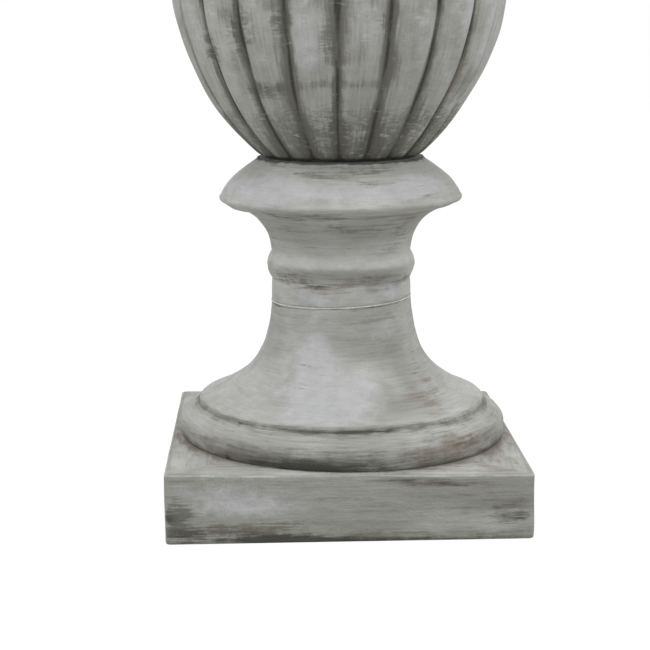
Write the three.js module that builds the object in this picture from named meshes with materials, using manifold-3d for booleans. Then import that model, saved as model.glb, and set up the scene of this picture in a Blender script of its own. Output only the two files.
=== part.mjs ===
// Garden urn planter in cast stone: a pedestal on a square plinth, a stem with its collar, and a bowl of
// twenty convex lobes (gadroons) under a plain neck and a rolled rim. The three castings are bedded on each
// other, and one long bolt draws them together. A rubber plug closes the drain hole in the bowl's floor.
// Millimetres, +Z up, origin on the ground under the plinth's centre. The front is towards -Y.
import * as THREE from 'three';
import { mergeVertices } from 'three/addons/utils/BufferGeometryUtils.js';
import Module from 'manifold-3d';

const wasm = await Module();
wasm.setup();

// ---------------------------------------------------------------- Sizes: pedestal
const plinthSide = 330;
const plinthHeight = 60;
const plinthCornerRadius = 6; // upright corners, softened by the mould
const plinthArris = 2; // worn edges along the top and the foot
const plinthWall = 16;
const plinthDeck = 14; // thickness of the plinth's top
const cavityCornerRadius = 12;

const torusSetback = 7.5; // from the plinth's face in to the torus's fullest point
const torusFullestRise = 15; // height of that point above the plinth
const torusFootInset = 6; // how far the torus draws in again where it meets the plinth
const torusHeight = 33;
const torusWall = 20;
const quirkInset = 18.5; // from the torus's fullest point in to the groove above it
const rollRun = 10; // the small convex roll between the groove and the scotia
const rollHeight = 8;
const scotiaHeight = 92; // the long hollow curve from the roll up to the waist
const waistRadius = 66.9;
const shellWall = 15; // wall of the scotia, the waist and the stem
const ledgeWidth = 12; // ledge inside the waist, which the cross bar pulls against
const ledgeDepth = 22;

// ---------------------------------------------------------------- Sizes: stem and collar
const sealThickness = 1.5;
const sealProud = 0.4;
const astragalRise = 20; // from the stem's foot to the astragal's lower edge
const astragalHeight = 25;
const astragalProjection = 4.1;
const cavettoHeight = 45; // from the astragal to the collar's underside
const collarOverhang = 37.2; // from the edge of the seat out to the collar's nose
const collarNoseDepth = 4.5;
const collarNoseHeight = 7;
const collarUnderside = 6; // width of the nearly flat strip behind the nose
const collarShoulderHeight = 34; // from the nose up to the seat
const seatSpread = 12.1; // how much further out than the waist the collar's flat top ends
const beddingThickness = 2;
const beddingRecess = 6; // from the bottom of the lobes' grooves in to the mortar
const beddingInset = 2; // from the stem's bore out to the mortar

// ---------------------------------------------------------------- Sizes: bowl
const bellyRadius = 157; // over the lobes
const bowlFootInset = 2.5; // from the edge of the seat in to the bowl's foot, over the lobes
const bellyRise = 157; // from the bowl's foot to its widest point
const lowerFullness = 1.7; // exponent of the superellipse below the belly
const upperFullness = 2.2; // and above it
const shoulderInset = 23; // from the belly in to the shoulder, over the lobes
const shoulderRise = 75; // from the belly to the bead
const bowlToe = 3; // rounding of the lobes' lower ends
const lobeCount = 20;
const lobeDepth = 8.5; // at the belly, less where the bowl is narrower
const lobeFullness = 2.6; // exponent of a lobe's section: the higher, the flatter with tighter grooves
const lobeEndHeight = 22; // height of the rounded end at the top of each lobe
const lobeEndGap = 5; // plain band between the lobes' ends and the bead
const lobeClocking = -3.2; // degrees from the plinth's front to the nearest groove
const beadRadius = 6;
const neckInset = 9; // from the plain band in to the neck's narrowest point
const neckRise = 42; // from the bead's underside to that point
const rimRise = 106; // from there to the top of the rim
const rimRadius = 168;
const rimHeight = 25;
const rimRollDepth = 12;
const rimUndercut = 5; // step under the rim
const bowlWall = 19; // through a lobe, less in a groove
const neckWall = 15;
const mouthWall = 26;
const bowlFloor = 18;
const floorFillet = 10;

// ---------------------------------------------------------------- Sizes: fixings and plug
const boltDiameter = 10;
const boltHeadAcross = 17;
const boltHeadHeight = 6.5;
const boltTail = 1.5; // what stands out below the nut
const nutHeight = 8;
const boltHoleClearance = 0.5; // radial, in the castings and the bar
const washerClearance = 0.3; // radial, in washers and nut
const headWasherDiameter = 30;
const headWasherThickness = 2.5;
const sealWasherDiameter = 34;
const sealWasherThickness = 3;
const nutWasherDiameter = 24;
const nutWasherThickness = 2;
const barWidth = 25;
const barThickness = 5;
const barEndClearance = 2;
const drainDiameter = 20;
const plugClearance = 0.3;
const plugGap = 7; // between the bolt's sealing washer and the plug's flange
const plugShortfall = 3; // the plug ends this far above the floor's underside
const plugFlangeOverlap = 4;
const plugFlangeThickness = 4;
const plugFlangeChamfer = 1.3;
const plugToeTaper = 1;
const plugToeHeight = 3;
const plugKnobRadius = 5;
const plugKnobHeight = 11;
const plugKnobWaist = 3; // radius where the knob stands on the flange

// ---------------------------------------------------------------- Facets
const pedestalFacets = 48;
const stemFacets = 40;
const hollowFacets = 36;
const lobeColumns = 6;
const upperBowlFacets = 48;
const smallFacets = 16;
const cutReach = 1; // a cutter runs this far past the face it opens

// ---------------------------------------------------------------- Levels and radii that follow
const torusRadius = plinthSide / 2 - torusSetback;
const quirkRadius = torusRadius - quirkInset;
const quirkZ = plinthHeight + torusHeight;
const rollTop = point(quirkRadius - rollRun, quirkZ + rollHeight);
const pedestalHeight = rollTop.y + scotiaHeight;
const boreRadius = waistRadius - shellWall;
const ledgeRadius = boreRadius - ledgeWidth;
const ledgeZ = pedestalHeight - ledgeDepth;

const stemFootZ = pedestalHeight + sealThickness;
const astragalZ = stemFootZ + astragalRise;
const astragalTopZ = astragalZ + astragalHeight;
const undersideZ = astragalTopZ + cavettoHeight;
const noseZ = undersideZ + collarNoseHeight;
const noseTopZ = noseZ + collarNoseHeight / 2;
const seatZ = noseTopZ + collarShoulderHeight;
const seatRadius = waistRadius + seatSpread;
const collarRadius = seatRadius + collarOverhang;

const bowlFootZ = seatZ + beddingThickness;
const bowlFootRadius = seatRadius - bowlFootInset;
const bellyZ = bowlFootZ + bellyRise;
const shoulderZ = bellyZ + shoulderRise;
const shoulderRadius = bellyRadius - shoulderInset;
const lobeEndZ = shoulderZ - lobeEndGap;
const beadZ = shoulderZ + beadRadius;
const neckZ = shoulderZ + neckRise;
const rimZ = neckZ + rimRise;
const floorZ = bowlFootZ + bowlFloor;
const grooveShare = lobeDepth / bellyRadius; // depth of a groove as a share of the radius over the lobes
const bandRadius = shoulderRadius * (1 - grooveShare);
const neckRadius = bandRadius - neckInset;
const lowerReach = superellipseReach(bellyRise, bowlFootRadius, lowerFullness);
const upperReach = superellipseReach(shoulderRise, shoulderRadius, upperFullness);
const beddingRadius = bowlFootRadius * (1 - grooveShare) - beddingRecess;

const nutWasherZ = ledgeZ - barThickness;
const nutTopZ = nutWasherZ - nutWasherThickness;
const boltEndZ = nutTopZ - nutHeight - boltTail;
const headWasherZ = floorZ + sealWasherThickness;
const headSeatZ = headWasherZ + headWasherThickness;
const boltHoleRadius = boltDiameter / 2 + boltHoleClearance;
const washerHoleRadius = boltDiameter / 2 + washerClearance;
const plugFlangeRadius = drainDiameter / 2 + plugFlangeOverlap;
const drainOffset = sealWasherDiameter / 2 + plugGap + plugFlangeRadius;

// ---------------------------------------------------------------- Drawing helpers
// A point of a half-section: radius and height.
function point(radius, height) {
  return new THREE.Vector2(radius, height);
}

// The points of a curve in the half-section.
function along(curve, steps) {
  return curve.getPoints(steps);
}

// A moulding's sweep from one point to another. The pulls say how far each handle reaches, as shares of the
// run across and of the rise, so that the moulding keeps its character when its ends move.
function sweep(from, to, pullFrom, pullTo) {
  const run = to.x - from.x;
  const rise = to.y - from.y;
  const handleFrom = point(from.x + pullFrom[0] * run, from.y + pullFrom[1] * rise);
  const handleTo = point(to.x - pullTo[0] * run, to.y - pullTo[1] * rise);
  return new THREE.CubicBezierCurve(from, handleFrom, handleTo, to);
}

// An elliptical stretch about a centre, between two angles in degrees from the outward direction.
function bow(centre, acrossRadius, uprightRadius, fromDegrees, toDegrees) {
  const from = THREE.MathUtils.degToRad(fromDegrees);
  const to = THREE.MathUtils.degToRad(toDegrees);
  return new THREE.EllipseCurve(centre.x, centre.y, acrossRadius, uprightRadius, from, to, to < from);
}

// The shallow bulge of a bead between two points on an upright wall.
function bulge(radius, fromZ, toZ, projection) {
  const half = (toZ - fromZ) / 2;
  const arcRadius = (half * half + projection * projection) / (2 * projection);
  const centre = point(radius + projection - arcRadius, (fromZ + toZ) / 2);
  const halfAngle = THREE.MathUtils.radToDeg(Math.asin(half / arcRadius));
  return bow(centre, arcRadius, arcRadius, -halfAngle, halfAngle);
}

// Joins stretches of a half-section and drops the doubled points where they meet.
function section(...stretches) {
  const joined = stretches.flat();
  return joined.filter((p, i) => i === 0 || p.distanceTo(joined[i - 1]) > 1e-6);
}

// Turns a half-section about the upright axis. A section that leaves the axis has to close on itself.
function turn(profile, facets) {
  const geometry = new THREE.LatheGeometry(profile, facets);
  return geometry.rotateX(Math.PI / 2);
}

// A plain round bar or hole about an upright axis.
function round(radius, fromZ, toZ, facets) {
  return turn([point(0, fromZ), point(radius, fromZ), point(radius, toZ), point(0, toZ)], facets);
}

// A flat ring about the upright axis.
function ring(innerRadius, outerRadius, fromZ, toZ, facets) {
  const corners = [
    point(innerRadius, fromZ),
    point(outerRadius, fromZ),
    point(outerRadius, toZ),
    point(innerRadius, toZ),
  ];
  return turn([...corners, corners[0].clone()], facets);
}

// A square with rounded corners, centred on the axis.
function roundedSquare(side, cornerRadius) {
  const half = side / 2;
  const straight = half - cornerRadius;
  const shape = new THREE.Shape();
  shape.absarc(straight, straight, cornerRadius, 0, Math.PI / 2);
  shape.absarc(-straight, straight, cornerRadius, Math.PI / 2, Math.PI);
  shape.absarc(-straight, -straight, cornerRadius, Math.PI, 1.5 * Math.PI);
  shape.absarc(straight, -straight, cornerRadius, 1.5 * Math.PI, 2 * Math.PI);
  return shape;
}

// ---------------------------------------------------------------- Solids
// A closed geometry as a solid that can be joined and cut.
function solid(geometry) {
  const bare = geometry.clone();
  bare.deleteAttribute('normal');
  bare.deleteAttribute('uv');
  const merged = mergeVertices(bare, 1e-4);
  return new wasm.Manifold(new wasm.Mesh({
    numProp: 3,
    vertProperties: merged.getAttribute('position').array,
    triVerts: new Uint32Array(merged.getIndex().array),
  }));
}

// A solid back as geometry, with flat faces.
function geometryOf(body) {
  const mesh = body.getMesh();
  const geometry = new THREE.BufferGeometry();
  geometry.setAttribute('position', new THREE.BufferAttribute(new Float32Array(mesh.vertProperties), 3));
  geometry.setIndex(new THREE.BufferAttribute(new Uint32Array(mesh.triVerts), 1));
  const faceted = geometry.toNonIndexed();
  faceted.computeVertexNormals();
  return faceted;
}

// One body less each of the cutters.
function cut(body, ...cutters) {
  return cutters.reduce((rest, cutter) => rest.subtract(solid(cutter)), body);
}

// ---------------------------------------------------------------- Pedestal
// The scotia, a hollow moulding, swept from the roll up to the waist.
function scotia() {
  return sweep(rollTop, point(waistRadius, pedestalHeight), [0.69, 0.23], [0.07, 0.6]);
}

// Outer mouldings from the plinth to the waist.
function pedestalProfile() {
  const foot = point(torusRadius - torusFootInset, plinthHeight);
  const fullest = point(torusRadius, plinthHeight + torusFullestRise);
  const quirk = point(quirkRadius, quirkZ);
  const lowerTorus = sweep(foot, fullest, [0.8, 0.2], [0, 0.5]);
  const upperTorus = sweep(fullest, quirk, [0, 0.5], [0.45, 0.35]);
  const roll = sweep(quirk, rollTop, [0.05, 0.5], [0.55, 0.1]);
  return section(along(lowerTorus, 3), along(upperTorus, 4), along(roll, 3), along(scotia(), 8));
}

// Inside of the foot: the scotia moved in by the wall, and a wider hollow behind the torus.
function footHollow() {
  const curve = scotia();
  const steps = 6;
  const inner = [];
  for (let i = 0; i <= steps; i++) {
    const outer = curve.getPoint(i / steps);
    const tangent = curve.getTangent(i / steps);
    const inward = point(-tangent.y, tangent.x);
    inner.push(outer.add(inward.multiplyScalar(shellWall)));
  }
  const below = inner.filter((p) => p.y < ledgeZ - ledgeWidth);
  const behindTorus = torusRadius - torusWall;
  const deckUnderside = plinthHeight - plinthDeck;
  return [
    point(0, deckUnderside - cutReach),
    point(behindTorus, deckUnderside - cutReach),
    point(behindTorus, plinthHeight + torusFullestRise),
    ...below,
    point(boreRadius, ledgeZ),
    point(0, ledgeZ),
  ];
}

function makePedestal() {
  const plinth = new THREE.ExtrudeGeometry(roundedSquare(plinthSide, plinthCornerRadius), {
    depth: plinthHeight - 2 * plinthArris,
    bevelThickness: plinthArris,
    bevelSize: plinthArris,
    bevelOffset: -plinthArris,
    bevelSegments: 2,
    curveSegments: 4,
  }).translate(0, 0, plinthArris);
  const embedded = plinthHeight - plinthDeck / 2;
  const mouldings = turn([
    point(0, embedded),
    point(torusRadius - torusFootInset, embedded),
    ...pedestalProfile(),
    point(0, pedestalHeight),
  ], pedestalFacets);
  const cavitySide = plinthSide - 2 * plinthWall;
  const cavity = new THREE.ExtrudeGeometry(roundedSquare(cavitySide, cavityCornerRadius), {
    depth: plinthHeight - plinthDeck + cutReach,
    bevelEnabled: false,
    curveSegments: 4,
  }).translate(0, 0, -cutReach);
  const hollow = turn(footHollow(), hollowFacets);
  const ledgeBore = round(ledgeRadius, ledgeZ - cutReach, pedestalHeight + cutReach, hollowFacets);
  return cut(solid(plinth).add(solid(mouldings)), cavity, hollow, ledgeBore);
}

// ---------------------------------------------------------------- Stem and collar
function makeStemCollar() {
  const noseCentre = point(collarRadius - collarNoseDepth, noseZ);
  const underside = point(noseCentre.x - collarUnderside, undersideZ);
  const noseTop = point(noseCentre.x + collarNoseDepth / 2, noseTopZ);
  const cavetto = sweep(point(waistRadius, astragalTopZ), underside, [0, 0.035], [0.985, 0.2]);
  const nose = bow(noseCentre, collarNoseDepth, collarNoseHeight / 2, -80, 50);
  const shoulder = sweep(noseTop, point(seatRadius, seatZ), [0.18, 0.56], [-0.04, 0.07]);
  const profile = section(
    [point(boreRadius, stemFootZ), point(waistRadius, stemFootZ)],
    along(bulge(waistRadius, astragalZ, astragalTopZ, astragalProjection), 5),
    along(cavetto, 6),
    along(nose, 4),
    along(shoulder, 5).slice(1),
    [point(boreRadius, seatZ), point(boreRadius, stemFootZ)],
  );
  return solid(turn(profile, stemFacets));
}

// ---------------------------------------------------------------- Bowl
// How far a superellipse about the belly has to reach to pass through a given radius at a given distance.
function superellipseReach(distance, radius, fullness) {
  const share = (1 - (radius / bellyRadius) ** fullness) ** (1 / fullness);
  return distance / share;
}

// Radius of the bowl over its lobes at a height: one superellipse below the belly and one above.
function crestRadius(z) {
  const below = z < bellyZ;
  const fullness = below ? lowerFullness : upperFullness;
  const reach = below ? lowerReach : upperReach;
  const share = Math.abs(z - bellyZ) / reach;
  return bellyRadius * (1 - share ** fullness) ** (1 / fullness);
}

// Radius of the lobed surface. Across is 0 on a lobe's crest and 1 in the groove on either side. The convex
// section fades to nothing over the top end's height, which rounds each lobe off like the bowl of a spoon.
function lobedRadius(across, z) {
  const crest = crestRadius(z);
  const depth = crest * grooveShare;
  const convex = 1 - across ** lobeFullness;
  const ended = Math.max(0, (z - lobeEndZ + lobeEndHeight) / lobeEndHeight);
  const height = Math.max(0, convex - ended ** 2);
  const aboveToe = Math.min(bowlToe, z - bowlFootZ);
  const toeInset = bowlToe - Math.sqrt(bowlToe ** 2 - (bowlToe - aboveToe) ** 2);
  return crest - depth * (1 - height) - toeInset;
}

// Heights of the rings of the lobed surface: at the toe, evenly up the bowl, and closer at the lobes' ends.
function lobeLevels() {
  const endStartZ = lobeEndZ - lobeEndHeight;
  const bodySteps = 9;
  const endSteps = 4;
  const levels = [bowlFootZ, bowlFootZ + bowlToe / 3];
  for (let i = 0; i < bodySteps; i++) {
    levels.push(bowlFootZ + bowlToe + (endStartZ - bowlFootZ - bowlToe) * i / bodySteps);
  }
  for (let i = 0; i <= endSteps; i++) {
    levels.push(endStartZ + lobeEndHeight * i / endSteps);
  }
  levels.push(beadZ);
  return levels;
}

// The lobed body as one closed grid: rings of columns, closed by a fan at the foot and at the top.
function lobedGeometry() {
  const levels = lobeLevels();
  const columns = lobeCount * lobeColumns;
  const positions = [];
  for (const z of levels) {
    const bandZ = Math.min(z, shoulderZ);
    for (let i = 0; i < columns; i++) {
      const across = Math.abs(2 * (i % lobeColumns) / lobeColumns - 1);
      const angle = THREE.MathUtils.degToRad(lobeClocking - 90) + 2 * Math.PI * i / columns;
      const radius = lobedRadius(across, bandZ);
      positions.push(radius * Math.cos(angle), radius * Math.sin(angle), z);
    }
  }
  const indices = [];
  for (let row = 0; row < levels.length - 1; row++) {
    for (let i = 0; i < columns; i++) {
      const a = row * columns + i;
      const b = row * columns + (i + 1) % columns;
      indices.push(a, b, b + columns, a, b + columns, a + columns);
    }
  }
  const footCentre = positions.length / 3;
  const topCentre = footCentre + 1;
  const topRow = (levels.length - 1) * columns;
  positions.push(0, 0, levels[0], 0, 0, levels.at(-1));
  for (let i = 0; i < columns; i++) {
    const next = (i + 1) % columns;
    indices.push(footCentre, next, i, topCentre, topRow + i, topRow + next);
  }
  const geometry = new THREE.BufferGeometry();
  geometry.setAttribute('position', new THREE.BufferAttribute(new Float32Array(positions), 3));
  geometry.setIndex(indices);
  return geometry;
}

// Bead, neck and rolled rim, turned plain.
function upperBowlProfile() {
  const neck = point(neckRadius, neckZ);
  const beadTop = point(bandRadius, beadZ + beadRadius);
  const rimUnderside = point(rimRadius - rimRollDepth - rimUndercut, rimZ - rimHeight);
  const rimCentre = point(rimRadius - rimRollDepth, rimZ - rimHeight / 2);
  return section(
    [point(0, beadZ - beadRadius)],
    along(bow(point(bandRadius, beadZ), beadRadius, beadRadius, -90, 90), 5),
    along(sweep(beadTop, neck, [0.75, 0.1], [0, 0.5]), 3),
    along(sweep(neck, rimUnderside, [0, 0.5], [0.6, 0.25]), 6),
    along(bow(rimCentre, rimRollDepth, rimHeight / 2, -90, 90), 7),
    [point(0, rimZ)],
  );
}

// The bowl's hollow: floor, belly, neck and the flare of the mouth.
function liningProfile() {
  const steps = 7;
  const wallFoot = floorZ + floorFillet;
  const belly = [];
  for (let i = 0; i <= steps; i++) {
    const z = wallFoot + (shoulderZ - wallFoot) * i / steps;
    belly.push(point(crestRadius(z) - bowlWall, z));
  }
  const neck = point(neckRadius - neckWall, neckZ);
  const mouth = point(rimRadius - mouthWall, rimZ + cutReach);
  const floorEdge = point(belly[0].x - floorFillet, floorZ);
  return section(
    [point(0, floorZ)],
    along(sweep(floorEdge, belly[0], [0.7, 0], [0, 0.3]), 3),
    belly,
    along(sweep(belly.at(-1), neck, [0.3, 0.3], [0, 0.4]), 2),
    along(sweep(neck, mouth, [0, 0.5], [0.5, 0.4]), 5),
    [point(0, mouth.y)],
  );
}

function makeBowl() {
  const holeFromZ = bowlFootZ - cutReach;
  const holeToZ = floorZ + cutReach;
  const boltHole = round(boltHoleRadius, holeFromZ, holeToZ, smallFacets);
  const drainHole = round(drainDiameter / 2, holeFromZ, holeToZ, smallFacets).translate(drainOffset, 0, 0);
  const body = solid(lobedGeometry()).add(solid(turn(upperBowlProfile(), upperBowlFacets)));
  return cut(body, turn(liningProfile(), hollowFacets), boltHole, drainHole);
}

// ---------------------------------------------------------------- Seals, fixings and plug
// A hexagon prism, from its width across flats.
function hexagon(acrossFlats, fromZ, toZ) {
  const cornerRadius = acrossFlats / 2 / Math.cos(Math.PI / 6);
  return round(cornerRadius, fromZ, toZ, 6);
}

function makeTieBolt() {
  const shank = round(boltDiameter / 2, boltEndZ, headSeatZ + boltHeadHeight / 2, smallFacets);
  return solid(hexagon(boltHeadAcross, headSeatZ, headSeatZ + boltHeadHeight)).add(solid(shank));
}

function makeTieNut() {
  const blank = solid(hexagon(boltHeadAcross, nutTopZ - nutHeight, nutTopZ));
  return cut(blank, round(washerHoleRadius, nutTopZ - nutHeight - cutReach, nutTopZ + cutReach, smallFacets));
}

// Flat bar with a hole in its middle. It goes in from below and bears on the ledge with both ends.
function makeCrossBar() {
  const length = 2 * (boreRadius - barEndClearance);
  const bar = new THREE.BoxGeometry(length, barWidth, barThickness);
  bar.translate(0, 0, ledgeZ - barThickness / 2);
  return cut(solid(bar), round(boltHoleRadius, nutWasherZ - cutReach, ledgeZ + cutReach, smallFacets));
}

function washer(diameter, fromZ, thickness) {
  return solid(ring(washerHoleRadius, diameter / 2, fromZ, fromZ + thickness, smallFacets));
}

// Rubber plug: a tapered-in toe, a flange on the bowl's floor and a waisted knob to pull it by.
function makeDrainPlug() {
  const plugRadius = drainDiameter / 2 - plugClearance;
  const plugDepth = bowlFloor - plugShortfall;
  const flangeTopZ = floorZ + plugFlangeThickness;
  const knobTopZ = flangeTopZ + plugKnobHeight;
  const knobCentre = point(0, knobTopZ - plugKnobRadius);
  const knobFootAngle = -THREE.MathUtils.radToDeg(Math.acos(plugKnobWaist / plugKnobRadius));
  const profile = section(
    [
      point(0, floorZ - plugDepth),
      point(plugRadius - plugToeTaper, floorZ - plugDepth),
      point(plugRadius, floorZ - plugDepth + plugToeHeight),
      point(plugRadius, floorZ),
      point(plugFlangeRadius, floorZ),
      point(plugFlangeRadius, flangeTopZ - plugFlangeChamfer),
      point(plugFlangeRadius - plugFlangeChamfer, flangeTopZ),
      point(plugKnobWaist, flangeTopZ),
    ],
    along(bow(knobCentre, plugKnobRadius, plugKnobRadius, knobFootAngle, 90), 5),
  );
  return solid(turn(profile, smallFacets).translate(drainOffset, 0, 0));
}

// ---------------------------------------------------------------- Finishes
function finish(color, roughness, metalness = 0) {
  return new THREE.MeshStandardMaterial({ color, roughness, metalness, flatShading: true });
}

const pieces = {
  pedestal_shell: [makePedestal(), finish('#a3a49e', 0.9)],
  waist_seal_bead: [
    solid(ring(boreRadius, waistRadius + sealProud, pedestalHeight, stemFootZ, stemFacets)),
    finish('#c9cac6', 0.7),
  ],
  stem_collar: [makeStemCollar(), finish('#a1a29c', 0.9)],
  bowl_bedding_ring: [
    solid(ring(boreRadius + beddingInset, beddingRadius, seatZ, bowlFootZ, stemFacets)),
    finish('#8d8c86', 0.95),
  ],
  fluted_bowl: [makeBowl(), finish('#97988f', 0.9)],
  bolt_sealing_washer: [washer(sealWasherDiameter, floorZ, sealWasherThickness), finish('#1f1f20', 0.85)],
  bolt_head_washer: [washer(headWasherDiameter, headWasherZ, headWasherThickness), finish('#b4b6b8', 0.4, 1)],
  tie_bolt: [makeTieBolt(), finish('#b0b2b4', 0.4, 1)],
  cross_bar: [makeCrossBar(), finish('#a9abad', 0.5, 1)],
  nut_washer: [washer(nutWasherDiameter, nutTopZ, nutWasherThickness), finish('#b4b6b8', 0.4, 1)],
  tie_nut: [makeTieNut(), finish('#b0b2b4', 0.4, 1)],
  drain_plug: [makeDrainPlug(), finish('#232324', 0.8)],
};

const urn = new THREE.Group();
for (const [name, [body, material]] of Object.entries(pieces)) {
  const mesh = new THREE.Mesh(geometryOf(body), material);
  mesh.name = name;
  urn.add(mesh);
}

export default urn;
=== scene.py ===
"""Garden urn planter in cast stone, painted with a brushed antique wash.

A pedestal on a square plinth, a short stem with its collar and a bowl of twenty convex lobes stand on each other.
One long bolt draws the three castings together, and a rubber plug closes the drain hole in the bowl's floor.
Sizes are in millimetres, +Z is up and the front is towards -Y. Meshes are in metres.
"""

import logging
import math
from dataclasses import dataclass, field, replace
from enum import Enum
from typing import Any, ClassVar, Iterable, Sequence

import bmesh
import bpy
import numpy as np
from mathutils import Matrix, Vector

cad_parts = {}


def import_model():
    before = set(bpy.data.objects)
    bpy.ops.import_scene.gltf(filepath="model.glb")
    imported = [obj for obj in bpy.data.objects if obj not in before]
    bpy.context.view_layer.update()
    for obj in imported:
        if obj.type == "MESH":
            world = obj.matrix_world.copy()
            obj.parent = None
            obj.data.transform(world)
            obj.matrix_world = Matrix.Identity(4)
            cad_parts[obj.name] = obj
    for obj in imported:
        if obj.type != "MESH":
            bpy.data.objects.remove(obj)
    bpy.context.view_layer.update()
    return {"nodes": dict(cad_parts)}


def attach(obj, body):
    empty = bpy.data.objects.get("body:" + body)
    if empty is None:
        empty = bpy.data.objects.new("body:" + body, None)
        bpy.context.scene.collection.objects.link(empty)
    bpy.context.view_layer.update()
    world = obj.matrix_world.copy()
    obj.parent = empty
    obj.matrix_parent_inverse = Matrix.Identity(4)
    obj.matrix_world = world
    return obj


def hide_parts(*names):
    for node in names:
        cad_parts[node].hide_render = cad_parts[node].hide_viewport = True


MM = 0.001
SMOOTH = {"interpolation_type": "SMOOTHSTEP"}
log = logging.getLogger("urn")

Point = tuple[float, float]
Piece = bpy.types.Object
Tree = bpy.types.NodeTree
Socket = bpy.types.NodeSocket


# ---- Small helpers
def linear(hex_colour: str) -> tuple[float, float, float, float]:
    """Turns an sRGB hex colour such as "#a0a19b" into linear red, green, blue and alpha."""
    channels = [int(hex_colour[i : i + 2], 16) / 255 for i in (1, 3, 5)]
    return (*[c / 12.92 if c <= 0.04045 else ((c + 0.055) / 1.055) ** 2.4 for c in channels], 1.0)


def add(tree: Tree, kind: str, sockets: dict[Any, Any] | None = None, **settings: Any) -> bpy.types.Node:
    """Adds one shader node with its settings, values and links.

    Args:
        tree: The tree that gets the node.
        kind: Blender's name of the kind of node, without its ShaderNode prefix.
        sockets: What goes into the inputs, by name or index: an output socket to link, or a plain value.
        **settings: The node's own properties.

    Returns:
        The new node.
    """
    node = tree.nodes.new("ShaderNode" + kind)
    for name, value in settings.items():
        setattr(node, name, value)
    for key, value in (sockets or {}).items():
        if isinstance(value, Socket):
            tree.links.new(value, node.inputs[key])
        else:
            node.inputs[key].default_value = value
    return node


def blank_material(name: str) -> tuple[bpy.types.Material, Tree]:
    """Makes a material with an empty node tree.

    Args:
        name: The finish's name.

    Returns:
        The material and its tree.
    """
    material = bpy.data.materials.new(name)
    material.use_nodes = True
    material.node_tree.nodes.clear()
    return material, material.node_tree


def ripple(*parts: tuple[np.ndarray, float, float]) -> np.ndarray:
    """Gives a smooth irregular wave between about -1 and 1.

    Args:
        *parts: Coordinates in millimetres, each with its wavelength and its phase.

    Returns:
        One value for each point.
    """
    total = sum(2 * math.pi * where / length + phase for where, length, phase in parts)
    crossed = sum(2 * math.pi * where / (length * 0.61) - 1.7 * phase for where, length, phase in parts)
    return 0.6 * np.sin(total) + 0.4 * np.sin(crossed + 1.3 * np.sin(total * 0.37))


def bell(where: np.ndarray, width: float | np.ndarray) -> np.ndarray:
    """Falls off on both sides of 0, from 1 to 1/e at a width from it."""
    return np.exp(-((where / width) ** 2))


def fade(distance: np.ndarray, length: float | np.ndarray) -> np.ndarray:
    """Falls off from 1 at 0 to 1/e at a length."""
    return np.exp(-distance / length)


def ramp(where: np.ndarray, length: float | np.ndarray) -> np.ndarray:
    """Rises from 0 at 0 to 1 at a length, and is level beyond both."""
    return np.clip(where / length, 0, 1)


# ---- Half-sections and turned meshes
@dataclass
class Outline:
    """A half-section drawn point by point, each a radius and a height."""

    points: list[Point] = field(default_factory=list)
    marks: dict[str, float] = field(default_factory=dict)

    def to(self, *points: Point) -> "Outline":
        """Draws straight to each point in turn and returns the outline."""
        self.points.extend(points)
        return self

    def line(self, end: Point, steps: int) -> "Outline":
        """Draws straight to a point in equal steps.

        Args:
            end: Where the line ends.
            steps: How many steps it takes.

        Returns:
            The outline.
        """
        r, z = self.points[-1]
        return self.to(*[(r + (end[0] - r) * i / steps, z + (end[1] - z) * i / steps) for i in range(1, steps + 1)])

    def sweep(self, end: Point, pull_from: Point, pull_to: Point, steps: int) -> "Outline":
        """Draws a moulding's cubic curve from the last point.

        Args:
            end: Where the curve ends.
            pull_from: How far the first handle reaches, as shares of the run across and of the rise.
            pull_to: How far the second handle reaches back from the end.
            steps: How many points the curve takes.

        Returns:
            The outline.
        """
        start = self.points[-1]
        span = (end[0] - start[0], end[1] - start[1])
        first = [start[k] + pull_from[k] * span[k] for k in (0, 1)]
        second = [end[k] - pull_to[k] * span[k] for k in (0, 1)]
        for i in range(1, steps + 1):
            t = i / steps
            weights = ((1 - t) ** 3, 3 * (1 - t) ** 2 * t, 3 * (1 - t) * t * t, t**3)
            corners = (start, first, second, end)
            self.points.append(tuple(sum(w * c[k] for w, c in zip(weights, corners)) for k in (0, 1)))
        return self

    def bow(self, centre: Point, across: float, upright: float, start: float, stop: float, steps: int) -> "Outline":
        """Draws part of an ellipse.

        Args:
            centre: The ellipse's centre.
            across: Its radius across.
            upright: Its upright radius.
            start: First angle in degrees from the outward direction.
            stop: Last angle.
            steps: How many steps it takes.

        Returns:
            The outline.
        """
        for i in range(steps + 1):
            angle = math.radians(start + (stop - start) * i / steps)
            self.points.append((centre[0] + across * math.cos(angle), centre[1] + upright * math.sin(angle)))
        return self

    def mark(self, name: str) -> "Outline":
        """Remembers the distance drawn so far under a name."""
        self.marks[name] = sum(math.dist(a, b) for a, b in zip(self.points, self.points[1:]))
        return self


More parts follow.
